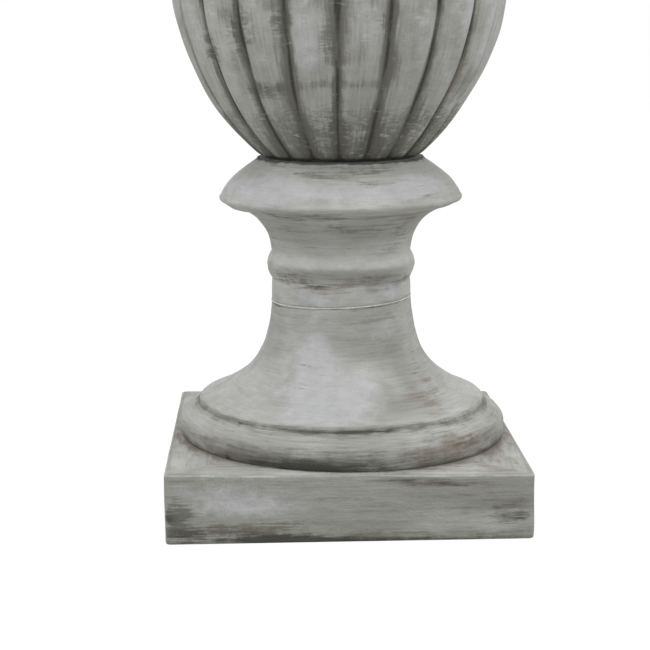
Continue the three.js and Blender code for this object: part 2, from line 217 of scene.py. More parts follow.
def turned(name: str, outline: Outline, columns: int, closed: bool = True) -> Piece:
    """Spins a half-section about the upright axis, from the front round.

    Args:
        name: The piece's name.
        outline: The half-section, anticlockwise with its outside to the right of the axis.
        columns: Facets round the axis.
        closed: Whether the last point joins the first, as on a ring.

    Returns:
        The object, whose mesh keeps the distance along the half-section as its run attribute.
    """
    bm = bmesh.new()
    run = bm.verts.layers.float.new("run")
    verts = []
    travelled = 0.0
    for i, (radius, height) in enumerate(outline.points):
        vert = bm.verts.new((0.0, -radius * MM, height * MM))
        travelled += math.dist(outline.points[i - 1], (radius, height)) if i else 0.0
        vert[run] = travelled * MM
        verts.append(vert)
    for pair in list(zip(verts, verts[1:])) + ([(verts[-1], verts[0])] if closed else []):
        bm.edges.new(pair)
    piece = finished(name, bm)
    turn = piece.modifiers.new("turn", "SCREW")
    turn.axis, turn.angle, turn.steps, turn.render_steps = "Z", 2 * math.pi, columns, columns
    turn.use_merge_vertices, turn.merge_threshold = True, 1e-6
    applied(piece)
    bm = bmesh.new()
    bm.from_mesh(piece.data)
    bmesh.ops.remove_doubles(bm, verts=bm.verts, dist=1e-6)
    bmesh.ops.recalc_face_normals(bm, faces=bm.faces)
    bm.to_mesh(piece.data)
    bm.free()
    piece.data.polygons.foreach_set("use_smooth", [True] * len(piece.data.polygons))
    return piece


def finished(name: str, bm: bmesh.types.BMesh, smooth: bool = True) -> Piece:
    """Turns a bmesh into an object at the origin.

    Args:
        name: The piece's name.
        bm: Its mesh, in metres and in place. It is freed.
        smooth: Whether the faces are shaded smooth.

    Returns:
        The object, linked into the scene.
    """
    mesh = bpy.data.meshes.new(name)
    bm.to_mesh(mesh)
    bm.free()
    mesh.polygons.foreach_set("use_smooth", [smooth] * len(mesh.polygons))
    piece = bpy.data.objects.new(name, mesh)
    bpy.context.scene.collection.objects.link(piece)
    return piece


def applied(piece: Piece) -> Piece:
    """Makes a piece's modifiers part of its mesh, and returns the piece."""
    piece.data = bpy.data.meshes.new_from_object(piece.evaluated_get(bpy.context.evaluated_depsgraph_get()))
    piece.modifiers.clear()
    return piece


def bored(piece: Piece, centre: Vector, radius: float, depth: float, solver: str) -> Piece:
    """Bores an upright round hole through a piece.

    Args:
        piece: The piece.
        centre: The middle of the hole, in metres.
        radius: Its radius in millimetres.
        depth: How tall the cutter is, in metres.
        solver: The Boolean solver that cuts it.

    Returns:
        The piece.
    """
    bm = bmesh.new()
    ends = {"radius1": radius * MM, "radius2": radius * MM}
    bmesh.ops.create_cone(bm, cap_ends=True, segments=48, depth=depth, matrix=Matrix.Translation(centre), **ends)
    cutter = finished("cutter", bm)
    cut = piece.modifiers.new("hole", "BOOLEAN")
    cut.operation, cut.solver, cut.object = "DIFFERENCE", solver, cutter
    applied(piece)
    bpy.data.objects.remove(cutter)
    return piece


def crisp(piece: Piece, angle: float) -> Piece:
    """Keeps edges sharper than an angle in degrees crisp, and returns the piece."""
    piece.data.set_sharp_from_angle(angle=math.radians(angle))
    return piece


@dataclass
class Patch:
    """A soft patch of a coat on a casting: where it is and how far it spreads."""

    place: float  # degrees round the axis, -90 at the front; on the plinth, millimetres round from the front's middle
    height: float
    across: float  # half-width round the casting, in millimetres
    along: float  # half-height
    strength: float = 1.0
    slant: float = 0.0  # millimetres up for each millimetre round


def patch_rows(*rows: tuple[float, ...]) -> tuple[Patch, ...]:
    """Turns rows of place, height, across, along, strength and slant into patches."""
    return tuple(Patch(*row) for row in rows)


class Surface:
    """The points of a casting's mesh as arrays, which warp it and lay its coats of paint."""

    def __init__(self, piece: Piece) -> None:
        """Reads a piece's points."""
        self.mesh = piece.data
        count = len(self.mesh.vertices)
        flat = np.empty(count * 3, np.float32)
        self.mesh.vertices.foreach_get("co", flat)
        self.points = flat.reshape(-1, 3).astype(float) / MM
        run = np.empty(count, np.float32)
        self.mesh.attributes["run"].data.foreach_get("value", run)
        self.run = run.astype(float) / MM
        self.refresh()

    def refresh(self) -> None:
        """Works out angle, radius and height again from the points."""
        self.x, self.y, self.z = self.points.T
        self.radius = np.hypot(self.x, self.y)
        self.angle = np.degrees(np.arctan2(self.y, self.x))

    def place(self, x: np.ndarray, y: np.ndarray, z: np.ndarray) -> None:
        """Moves the points to new coordinates in millimetres."""
        self.points = np.stack([x, y, z], 1)
        self.mesh.vertices.foreach_set("co", (self.points * MM).astype(np.float32).ravel())
        self.refresh()

    def round_to(self, angle: float) -> np.ndarray:
        """Distance round the casting from an angle in degrees to each point."""
        return (np.mod(self.angle - angle + 180, 360) - 180) * math.pi / 180 * self.radius

    def patches(self, patches: Iterable[Patch], perimeter: float = 0.0) -> np.ndarray:
        """Adds up soft patches.

        Args:
            patches: The patches.
            perimeter: The length round the square plinth, where the patches are placed along it.

        Returns:
            The weight at each point.
        """
        total = np.zeros(len(self.x))
        for patch in patches:
            if perimeter:
                half = perimeter / 2
                across = np.mod(self.along_square(perimeter / 8) - patch.place + half, perimeter) - half
            else:
                across = self.round_to(patch.place)
            along = self.z - patch.height - patch.slant * across
            near = (across / patch.across) ** 2 + (along / patch.along) ** 2
            total += patch.strength * np.exp(-(near**1.5))
        return total

    def along_square(self, half: float) -> np.ndarray:
        """Distance round a square from the middle of its front to each point's own side and place.

        Args:
            half: Half the square's side.

        Returns:
            The distance for each point, in millimetres.
        """
        side = np.where(np.abs(self.y) >= np.abs(self.x), np.where(self.y < 0, 0, 2), np.where(self.x > 0, 1, 3))
        within = np.choose(side, [self.x, self.y, -self.x, -self.y])
        return side * 2 * half + np.clip(within, -half, half)

    def store(self, **values: np.ndarray) -> None:
        """Keeps one number for each point under each name, for the materials to read."""
        for name, value in values.items():
            layer = self.mesh.attributes.new(name, "FLOAT", "POINT")
            layer.data.foreach_set("value", np.clip(value, -1, 2).astype(np.float32))

    def store_brush(self, x: np.ndarray, y: np.ndarray, along: np.ndarray) -> None:
        """Keeps the coordinates that brush marks follow, in metres.

        Args:
            x: Coordinate round the casting.
            y: Coordinate round the casting.
            along: Distance along the casting's section.
        """
        layer = self.mesh.attributes.new("brush", "FLOAT_VECTOR", "POINT")
        layer.data.foreach_set("vector", (np.stack([x, y, along], 1) * MM).astype(np.float32).ravel())


# ---- Finishes
class BrushWay(Enum):
    """Which way the brush was drawn, as wavelengths in millimetres round, round and along the section."""

    ROUND = (62.0, 62.0, 4.6)
    UPRIGHT = (6.0, 6.0, 75.0)


@dataclass(frozen=True)
class Coat:
    """One thin coat of colour: where it lies and how far brush marks, scratches and clouds break it up."""

    attribute: str
    colour: str
    strength: float
    start: float
    full: float
    broad: float = 0.2
    fine: float = 0.15
    clouds: float = 0.15
    across: float = 0.0


@dataclass(frozen=True)
class WashedCastStone:
    """Cast stone with an antique wash: cement and fine sand cast in a mould, painted pale grey and then brushed over
    with thin olive and brown washes that were wiped off the high places. It gives a matt, streaky face that is darker
    in every recess, partly from the wash and partly from painted shade, cool in the wiped patches, and pale along
    edges and crests, partly from wear and partly from painted highlight."""

    name: str
    way: BrushWay
    pale: str = "#babbb8"
    shaded: str = "#a5a6a1"
    cross: tuple[float, float, float] = (30.0, 30.0, 1.6)  # the scratches' wavelengths
    waver: float = 0.3  # how far the scratches wander
    dark_strokes: float = 0.16
    pale_strokes: float = 0.12
    coats: tuple[Coat, ...] = (
        # This flat, darker coat is partly painted shade: it darkens the plinth's sides against the deck, the cavetto
        # under the collar, the astragal's lower half and the bowl's lower part.
        Coat("even", "#8c8d85", 1.0, 0.0, 1.0, 0.08, 0.03, 0.08),
        Coat("cool", "#bebec1", 0.75, 0.20, 0.90, 0.12, 0.05, 0.18),
        Coat("wash", "#6b6a62", 0.88, 0.12, 0.92, 0.17, 0.10, 0.16, 0.04),
        Coat("rubbed", "#5d5c55", 0.75, 0.40, 1.00, 0.14, 0.12, 0.30, 0.30),
        Coat("warm", "#82766c", 0.70, 0.20, 1.00, 0.22, 0.14, 0.20),
        # This dark coat lies in creases, joints and contacts: partly wash settled there, partly painted shade.
        Coat("grime", "#484742", 0.92, 0.25, 0.85, 0.16, 0.12, 0.12),
        # This pale coat lies along edges, crests and the astragal's top: partly wear, partly painted highlight.
        Coat("worn", "#cdcecb", 0.80, 0.20, 0.95, 0.16, 0.10, 0.12),
    )

    def material(self) -> bpy.types.Material:
        """Builds the material from clouds, brush streaks, coats, scratches, sand grains and their relief."""
        material, tree = blank_material(self.name)
        place = add(tree, "TexCoord").outputs["Object"]
        brush = add(tree, "Attribute", attribute_name="brush").outputs["Vector"]
        lengths = self.way.value
        clouds = self.swing(tree, self.noise(tree, place, (80, 80, 55), 3, 0.6))
        broad = self.swing(tree, self.noise(tree, brush, lengths, 4, 0.66, 0.5))
        fine = self.swing(tree, self.noise(tree, brush, [v * 0.36 for v in lengths], 3, 0.66, 0.25))
        cross = self.swing(tree, self.noise(tree, brush, self.cross, 3, 0.62, self.waver))
        mottle = self.swing(tree, self.noise(tree, place, (15, 15, 11), 4, 0.68))
        grain = self.swing(tree, self.noise(tree, place, (1.5, 1.5, 1.5), 2, 0.5))

        shade = add(tree, "MapRange", {0: clouds, 1: -1.0, 2: 1.0}, **SMOOTH).outputs[0]
        colour = self.over(tree, linear(self.pale), shade, self.shaded)
        strokes = self.sum(tree, (broad, 0.55), (fine, 0.45))
        dark, light = (0.05, 0.75, self.dark_strokes, "#7c7b71"), (-0.1, -0.75, self.pale_strokes, "#c6c7c2")
        for start, full, strength, stroke_colour in (dark, light):
            limits = {0: strokes, 1: start, 2: full, 4: strength}
            mask = add(tree, "MapRange", limits, **SMOOTH).outputs[0]
            colour = self.over(tree, colour, mask, stroke_colour)
        for coat in self.coats:
            held = add(tree, "Attribute", attribute_name=coat.attribute).outputs["Fac"]
            parts = ((broad, coat.broad), (fine, coat.fine), (mottle, coat.clouds), (cross, coat.across))
            broken = self.sum(tree, *parts, start=held)
            limits = {0: broken, 1: coat.start, 2: coat.full, 4: coat.strength}
            mask = add(tree, "MapRange", limits, **SMOOTH).outputs[0]
            colour = self.over(tree, colour, mask, coat.colour)

        # Streaks, blotches and sand grains lighten and darken every coat a little.
        tone = self.sum(tree, (fine, -0.03), (mottle, 0.08), (grain, 0.03))
        level = add(tree, "Math", {0: tone, 1: 1.0}, operation="ADD").outputs[0]
        toned = add(tree, "VectorMath", {0: colour, 3: level}, operation="SCALE").outputs[0]

        # Relief, each with its strength and its depth in millimetres: streaks, then lumps, then sand.
        streaks = self.sum(tree, (broad, 0.5), (fine, 0.4))
        normal = {}
        for height, strength, depth in ((streaks, 0.3, 0.3), (mottle, 0.5, 0.5), (grain, 0.3, 0.1)):
            relief = {"Strength": strength, "Distance": depth * MM, "Height": height}
            normal = {"Normal": add(tree, "Bump", relief | normal).outputs[0]}
        rough = add(tree, "MapRange", {0: mottle, 1: -1.0, 3: 0.72, 4: 0.9}).outputs[0]
        values = {"Base Color": toned, "Roughness": rough, "Specular IOR Level": 0.3, "IOR": 1.5}
        shader = add(tree, "BsdfPrincipled", values | normal)
        add(tree, "OutputMaterial", {"Surface": shader.outputs[0]})
        return material

    @staticmethod
    def over(tree: Tree, under: Any, mask: Socket, colour: str) -> Socket:
        """Lays an sRGB colour over another through a mask and returns the result."""
        return add(tree, "Mix", {0: mask, 6: under, 7: linear(colour)}, data_type="RGBA").outputs[2]

    @staticmethod
    def sum(tree: Tree, *parts: tuple[Socket, float], start: Any = 0.0) -> Socket:
        """Adds up values with their weights.

        Args:
            tree: The material's tree.
            *parts: Each value and its weight.
            start: What they are added to.

        Returns:
            The sum.
        """
        for value, weight in parts:
            if weight:
                start = add(tree, "Math", {0: value, 1: weight, 2: start}, operation="MULTIPLY_ADD").outputs[0]
        return start

    @staticmethod
    def swing(tree: Tree, noise: Socket) -> Socket:
        """Stretches a noise pattern to run from -1 to 1."""
        return add(tree, "MapRange", {0: noise, 1: 0.34, 2: 0.66, 3: -1.0, 4: 1.0}).outputs[0]

    @staticmethod
    def noise(
        tree: Tree,
        where: Socket,
        lengths: Sequence[float],
        detail: float,
        roughness: float,
        distortion: float = 0.0,
    ) -> Socket:
        """Adds a stretched noise pattern.

        Args:
            tree: The material's tree.
            where: The coordinates in metres.
            lengths: The pattern's wavelengths along the three coordinates, in millimetres.
            detail: Octaves of finer noise.
            roughness: How strong the finer noise is.
            distortion: How far the pattern is dragged about.

        Returns:
            The pattern's value, about 0.5 on average.
        """
        scale = tuple(1 / (length * MM) for length in lengths)
        mapped = add(tree, "Mapping", {"Vector": where, "Scale": scale})
        values = {"Vector": mapped.outputs[0], "Scale": 1.0, "Detail": detail, "Roughness": roughness}
        return add(tree, "TexNoise", {**values, "Distortion": distortion}).outputs["Fac"]


def blotched(coats: Iterable[Coat], *attributes: str) -> tuple[Coat, ...]:
    """Swaps some coats' brush marks for blotches and wavering scratches.

    Args:
        coats: The coats.
        *attributes: Which of them to change.

    Returns:
        All the coats, in the same order.
    """
    changed = {
        coat.attribute: replace(
            coat, full=coat.full + 0.15, broad=coat.broad * 0.5, fine=coat.fine * 0.5, clouds=0.28, across=0.28
        )
        for coat in coats
        if coat.attribute in attributes
    }
    return tuple(changed.get(coat.attribute, coat) for coat in coats)


@dataclass(frozen=True)
class Speckled:
    """A plain finish with a grain of its own: base colour, darker grain, and what its surface does with light."""

    name: str
    colour: str
    grain_colour: str
    grain_size: float  # millimetres
    metallic: float = 0.0
    roughness: float = 0.6
    roughness_spread: float = 0.1
    relief: float = 0.1  # millimetres
    stretch: float = 1.0  # how much longer the grain is along X than across

    def material(self) -> bpy.types.Material:
        """Builds the material from one noise for colour, gloss and relief, and a broader one for blotches."""
        material, tree = blank_material(self.name)
        place = add(tree, "TexCoord").outputs["Object"]
        size = self.grain_size
        grain = WashedCastStone.noise(tree, place, (size * self.stretch, size, size), 4, 0.6)
        blotches = WashedCastStone.noise(tree, place, (size * 7, size * 7, size * 7), 3, 0.6, 0.3)
        mixed = add(tree, "Math", {0: grain, 1: blotches}, operation="MULTIPLY").outputs[0]
        spread = add(tree, "MapRange", {0: mixed, 1: 0.12, 2: 0.42}, **SMOOTH).outputs[0]
        ends = {0: spread, 6: linear(self.grain_colour), 7: linear(self.colour)}
        colour = add(tree, "Mix", ends, data_type="RGBA").outputs[2]
        low, high = self.roughness - self.roughness_spread, self.roughness + self.roughness_spread
        rough = add(tree, "MapRange", {0: grain, 1: 0.3, 2: 0.7, 3: low, 4: high}).outputs[0]
        relief = add(tree, "Bump", {"Strength": 0.6, "Distance": self.relief * MM, "Height": grain})
        values = {"Base Color": colour, "Metallic": self.metallic, "Roughness": rough, "Normal": relief.outputs[0]}
        shader = add(tree, "BsdfPrincipled", values)
        add(tree, "OutputMaterial", {"Surface": shader.outputs[0]})
        return material


# Polyurethane sealant, squeezed into the joint and wiped: pale, soft and slightly lumpy.
SEALANT = Speckled("wiped_polyurethane_sealant", "#dfe0dc", "#bcbcb6", 2.5, roughness=0.65, relief=0.25)
# Sand and cement bedding mortar, trowelled in and left: coarse, grey and dirty.
MORTAR = Speckled("sand_cement_mortar", "#8d8c84", "#5a5954", 1.8, roughness=0.92, relief=0.5)
# Zinc-plated steel, turned and then plated: bright grey with a faint milky bloom.
ZINC = Speckled("zinc_plated_steel", "#c3c6c9", "#8f9296", 3.0, 1.0, 0.36, 0.08, 0.03)
# Hot-rolled flat bar, dipped in zinc: dull, spangled grey.
GALVANISED = Speckled("hot_dip_galvanised_bar", "#adb0b2", "#7b7f82", 5.0, 1.0, 0.5, 0.12, 0.08, 1.6)
# Moulded black EPDM rubber: near black with a grey bloom.
RUBBER = Speckled("moulded_epdm_rubber", "#262627", "#38383a", 1.2, roughness=0.75, relief=0.06)


def dress(piece: Piece, finish: WashedCastStone | Speckled) -> Piece:
    """Gives a piece, or a carried-over node, one finish all over.

    Args:
        piece: The object.
        finish: The finish.

    Returns:
        The object.
    """
    material = bpy.data.materials.get(finish.name) or finish.material()
    piece.data.materials.clear()
    piece.data.materials.append(material)
    return piece


# ---- Pedestal
@dataclass
class Pedestal:
    """Square plinth, torus, small roll and scotia: one hollow casting, open below."""

    half_side: float = 165.0
    plinth_top: float = 60.0
    corner: float = 6.0
    arris: float = 2.0
    wall: float = 16.0
    deck: float = 14.0
    cavity_corner: float = 12.0
    torus_foot: float = 154.5
    torus_radius: float = 157.5
    torus_fullest: float = 75.0
    torus_wall: float = 20.0
    quirk: Point = (139.0, 93.0)
    roll_top: Point = (129.0, 101.0)
    waist: Point = (66.9, 193.0)
    shell: float = 15.0
    ledge_radius: float = 39.9
    ledge_height: float = 171.0
    columns: int = 360
    corner_columns: int = 12
    left_lift: float = 3.6  # the plinth's top stands this much higher on the left than the mould's drawing
    right_drop: float = 1.0
    mark_angle: float = -134.4  # where the casting mark crosses the torus
    front: float = -104.0  # where the wash under the torus, and the shade painted at its foot, are heaviest

    def outline(self) -> Outline:
        """Draws the closed half-section, from the foot's inner edge round the outside and back inside."""
        half, top, arris = self.half_side, self.plinth_top, self.arris
        out = Outline([(half - self.wall, 0.0), (half - self.wall + 4, 0.0)])
        rim = half - arris
        out.line((rim, 0.0), 3).bow((rim, arris), arris, arris, -68, 0, 3).line((half, top - arris), 22)
        out.bow((rim, top - arris), arris, arris, 22, 90, 3).mark("deck_edge")
        steps = (0.05, 0.14, 0.28, 0.45, 0.6, 0.74, 0.85, 0.92, 0.965)
        inset = rim - self.torus_foot
        out.to(*[(rim - inset * share, top) for share in steps], (self.torus_foot, top)).mark("torus_foot")
        out.sweep((self.torus_radius, self.torus_fullest), (0.8, 0.2), (0, 0.5), 12)
        out.sweep(self.quirk, (0, 0.5), (0.45, 0.35), 20).mark("quirk")
        out.sweep(self.roll_top, (0.05, 0.5), (0.55, 0.1), 8)
        out.sweep(self.waist, (0.69, 0.23), (0.07, 0.6), 48).mark("waist")
        out.to((self.waist[0] - 8, self.waist[1]), (self.ledge_radius, self.waist[1]))
        bore = self.waist[0] - self.shell
        out.line((self.ledge_radius, self.ledge_height), 3).to((bore, self.ledge_height))
        inner = Outline([self.roll_top]).sweep(self.waist, (0.69, 0.23), (0.07, 0.6), 14).points
        for before, here, after in reversed(list(zip(inner, inner[1:], inner[2:]))):
            slope = math.hypot(after[0] - before[0], after[1] - before[1])
            across, up = (after[0] - before[0]) / slope, (after[1] - before[1]) / slope
            r, z = here[0] - up * self.shell, here[1] + across * self.shell
            if self.torus_fullest < z < self.ledge_height - 8:
                out.to((r, z))
        behind = self.torus_radius - self.torus_wall
        out.to((behind, self.torus_fullest)).line((behind, top - self.deck), 3).mark("deck_underside")
        out.line((half - self.wall, top - self.deck), 5).line((half - self.wall, 6), 6)
        return out

    def square(self, share: np.ndarray, half: np.ndarray, corner: np.ndarray) -> tuple[np.ndarray, np.ndarray]:
        """Places points round a square with rounded corners, more closely in its corners.

        Args:
            share: How far round each point is, from 0 at the middle of the front to 1.
            half: Half the square's side for each point.
            corner: The corner radius for each point.

        Returns:
            The points' x and y.
        """
        quarter = np.mod(share, 1) * 4
        side = np.floor(quarter + 1e-6)
        within = (quarter - side) * self.columns / 4
        straight_columns = (self.columns / 4 - self.corner_columns) / 2
        straight = half - corner
        before = ramp(within, straight_columns)
        bend = ramp(within - straight_columns, self.corner_columns) * math.pi / 2
        after = ramp(within - straight_columns - self.corner_columns, straight_columns)
        x = straight * before + corner * np.sin(bend)
        y = -straight - corner * np.cos(bend) + straight * after
        turn = side * math.pi / 2
        return x * np.cos(turn) - y * np.sin(turn), x * np.sin(turn) + y * np.cos(turn)

    def build(self) -> Piece:
        """Turns the section, squares the plinth, warps the top as the cast one is, and lays the coats."""
        outline = self.outline()
        piece = turned("pedestal_casting", outline, self.columns)
        surface = Surface(piece)
        run, marks = surface.run, outline.marks
        on_deck = (run > marks["deck_edge"]) & (run < marks["torus_foot"])
        under_deck = run > marks["deck_underside"]
        outside = run <= marks["deck_edge"] + 1e-6
        share = (surface.angle + 90) / 360
        cavity = self.half_side - self.wall
        half = np.where(on_deck, self.half_side - self.arris, np.where(under_deck, cavity, surface.radius))
        corner = np.where(under_deck, self.cavity_corner, np.maximum(self.corner - (self.half_side - half), 1.0))
        inner = np.where(under_deck, self.torus_radius - self.torus_wall, self.torus_foot)
        level = on_deck | under_deck
        squareness = np.where(level, ramp(surface.radius - inner, half - inner), np.where(outside, 1.0, 0.0))
        at_foot = (run < marks["deck_edge"]) & (surface.z < 1e-6) & (half < cavity + 1e-3)
        corner = np.where(at_foot, self.cavity_corner, corner)
        sx, sy = self.square(share, half, corner)
        cx, cy = np.cos(np.radians(surface.angle)), np.sin(np.radians(surface.angle))
        ring = np.where(level, inner, surface.radius)
        x = squareness * sx + (1 - squareness) * ring * cx
        y = squareness * sy + (1 - squareness) * ring * cy
        surface.place(x, y, surface.z)
        self.warp(surface)
        self.paint(surface, outline)
        return piece

    def warp(self, surface: Surface) -> None:
        """Tilts the plinth's top, rounds its sides out of true and rocks the waist, as the casting is."""
        z = surface.z
        lift = np.interp(surface.x, [-self.half_side, self.half_side], [self.left_lift, -self.right_drop])
        rising = ramp(z, self.plinth_top) ** 1.5
        level_from = self.quirk[1] + 30
        fading = ramp(level_from - z, level_from - self.plinth_top)
        lifted = z + lift * np.where(z <= self.plinth_top, rising, fading)
        rocked = WaistBead.rock(surface.x, z)
        hand = 0.35 * ripple((surface.angle, 73, 0.4), (z, 58, 1.1))
        hand += 0.2 * ripple((surface.angle, 21, 2.2), (z, 19, 0))
        off_mark = surface.round_to(self.mark_angle)
        mark = 0.9 * bell(off_mark, 1.4) - 0.6 * bell(off_mark - 3.0, 1.8)
        mark *= bell(z - 66, 9) + 0.7 * bell(z - 94, 5)
        turned_part = (z > self.plinth_top + 0.5) & (z < self.waist[1] - 4)
        swell = np.where(turned_part, 1 + (hand + mark) / 130, 1.0)
        flat = (z < self.plinth_top - 1) & (np.maximum(abs(surface.x), abs(surface.y)) > self.half_side - 1)
        sunk = np.where(flat, 0.35 * (1 + ripple((surface.x + surface.y, 150, 0.8), (z, 70, 2))), 0.0)
        pull = 1 - sunk / self.half_side
        surface.place(surface.x * swell * pull, surface.y * swell * pull, lifted + rocked)

    def paint(self, surface: Surface, outline: Outline) -> None:
        """Lays the wash in the quirk, round the torus's foot and in the streaks, partly as painted shade, and pales
        the plinth's edges with wear and painted highlight.

        Args:
            surface: The casting's points.
            outline: Its half-section with its marks.
        """
        run, marks = surface.run, outline.marks
        outer = run < marks["waist"] + 5
        edge_gap = self.half_side - np.maximum(abs(surface.x), abs(surface.y))
        on_deck = (run > marks["deck_edge"] - 1) & (run < marks["torus_foot"] - 0.01)
        plinth_side = run < marks["deck_edge"] + 1
        foot_gap = np.where(on_deck, np.maximum(surface.radius - self.torus_foot, 0), np.inf)
        up_torus = np.where(run >= marks["torus_foot"] - 0.01, run - marks["torus_foot"], np.inf)
        ragged = 1 + 0.35 * ripple((surface.angle, 34, 0.2)) + 0.25 * ripple((surface.angle, 9, 1.9))
        fronted = bell(surface.round_to(self.front), 88)
        quirk_gap = np.abs(run - marks["quirk"])
        below_waist = np.abs(run - marks["waist"])
        # Partly the real wash and partly painted shade: a painted contact shadow at the torus's foot, heaviest at the
        # front, and painted shade in the quirk and under the waist bead.
        wash = 0.9 * fade(up_torus, 9.0 * ragged + 9 * fronted) + 0.45 * fade(foot_gap, 8.0 * ragged)
        wash += 0.75 * np.exp(-((quirk_gap / 5.5) ** 1.5)) + 0.5 * fade(below_waist, 2.0)
        grime = (0.1 + 0.5 * fronted) * bell(up_torus - 2.0, 4.0 + 6.0 * fronted) + 0.2 * bell(foot_gap, 2.4)
        broken = 0.3 + 0.15 * ripple((surface.angle, 41, 2.0)) + 0.1 * ripple((surface.angle, 13, 0.5))
        broken += 0.2 * fronted
        grime += bell(quirk_gap, 2.2) * broken + 0.5 * bell(below_waist, 0.9)
        wash += np.where(plinth_side, 0.04 + 0.22 * fade(surface.z, 10), 0.0)
        top_gap = np.abs(run - marks["deck_edge"] + 1.5)
        # Pale along the plinth's top edge and the roll above the quirk: partly wear, partly painted highlight.
        worn = 0.5 * bell(top_gap, 2.4) + 0.3 * bell(run - marks["quirk"] - 9, 4)
        halo = np.where(np.isfinite(foot_gap), fade(foot_gap, 24) * ramp(abs(surface.x), 100), 0.0)
        round_plinth = 8 * self.half_side
        coats = {
            name: np.where(
                plinth_side | on_deck,
                surface.patches(PLINTH_PATCHES[name], round_plinth),
                surface.patches(PEDESTAL_PATCHES[name]),
            )
            for name in PEDESTAL_PATCHES
        }
        surface.store(
            wash=np.where(outer, wash + coats["wash"] + 0.15 * halo, 0.3),
            grime=np.where(outer, grime + coats["grime"], 0.1),
            cool=np.where(outer, coats["cool"], 0.0),
            warm=np.where(outer, coats["warm"] + 0.9 * halo, 0.1),
            worn=np.where(outer, worn, 0.0),
            rubbed=np.where(outer, coats["rubbed"], 0.0),
            # Painted shade: the plinth's sides are painted darker than the deck, and darker still towards the bottom.
            even=np.where(plinth_side, 0.62 + 0.2 * fade(surface.z, 14), 0.0) + coats["even"],
        )
        along = np.where(plinth_side, surface.z, np.where(on_deck, self.plinth_top + 0.4 * edge_gap, run + 37))
        surface.store_brush(surface.x, surface.y, along)


# In the paint methods and the patches, weights are shares of a full coat and lengths are millimetres.
# Patches on the round part, from the photograph's front and of the same kind round the rest.
PEDESTAL_PATCHES = {
    "even": patch_rows(
        (-90, 78, 260, 14, 0.5), (90, 78, 260, 14, 0.5), (-84, 106, 110, 9, 0.45), (-74, 158, 38, 20, 0.6),
        (-120, 172, 24, 14, 0.3), (-88, 184, 50, 6, 0.3), (-62, 116, 26, 16, 0.3), (-48, 140, 16, 34, 0.4),
        (70, 158, 44, 20, 0.6), (150, 140, 40, 24, 0.5),
    ),
    "cool": patch_rows(
        (-100, 116, 54, 26, 1.0), (-112, 150, 20, 26, 0.8), (-118, 185, 14, 10, 0.5), (-60, 172, 20, 12, 0.5),
        (20, 120, 40, 22, 0.9), (95, 128, 46, 24, 0.9), (165, 115, 36, 26, 0.8),
    ),
    "wash": patch_rows(
        (-76, 176, 34, 8, 0.3, 0.1), (-60, 185, 26, 5, 0.35), (-124, 110, 20, 5, 0.25), (-128, 68, 24, 4, 0.3),
        (-60, 84, 50, 5, 0.25), (-100, 70, 70, 8, 0.4), (75, 170, 36, 10, 0.4), (140, 150, 30, 14, 0.4),
    ),
    "warm": patch_rows(
        (-50, 110, 22, 14, 0.6), (-36, 130, 12, 26, 0.45), (-50, 74, 54, 12, 0.8), (-138, 72, 40, 12, 0.45),
        (-98, 66, 50, 6, 0.4), (-84, 180, 20, 6, 0.3), (30, 70, 60, 8, 0.6), (120, 66, 60, 8, 0.6),
        (45, 120, 30, 16, 0.4),
    ),
    "grime": patch_rows(
        (-86, 93, 50, 2.0, 0.4), (-134.4, 93, 4, 3, 0.5), (-134.4, 64, 3.5, 6, 0.5), (-46, 78, 18, 5, 0.35),
        (-100, 67, 60, 6, 0.3),
    ),
    "rubbed": patch_rows(
        (-46, 78, 30, 9, 0.5), (-112, 66, 40, 5, 0.45), (-92, 70, 80, 9, 0.5), (-50, 112, 18, 12, 0.35),
        (-36, 128, 12, 24, 0.3), (60, 76, 60, 8, 0.5), (160, 76, 60, 8, 0.5),
    ),
}
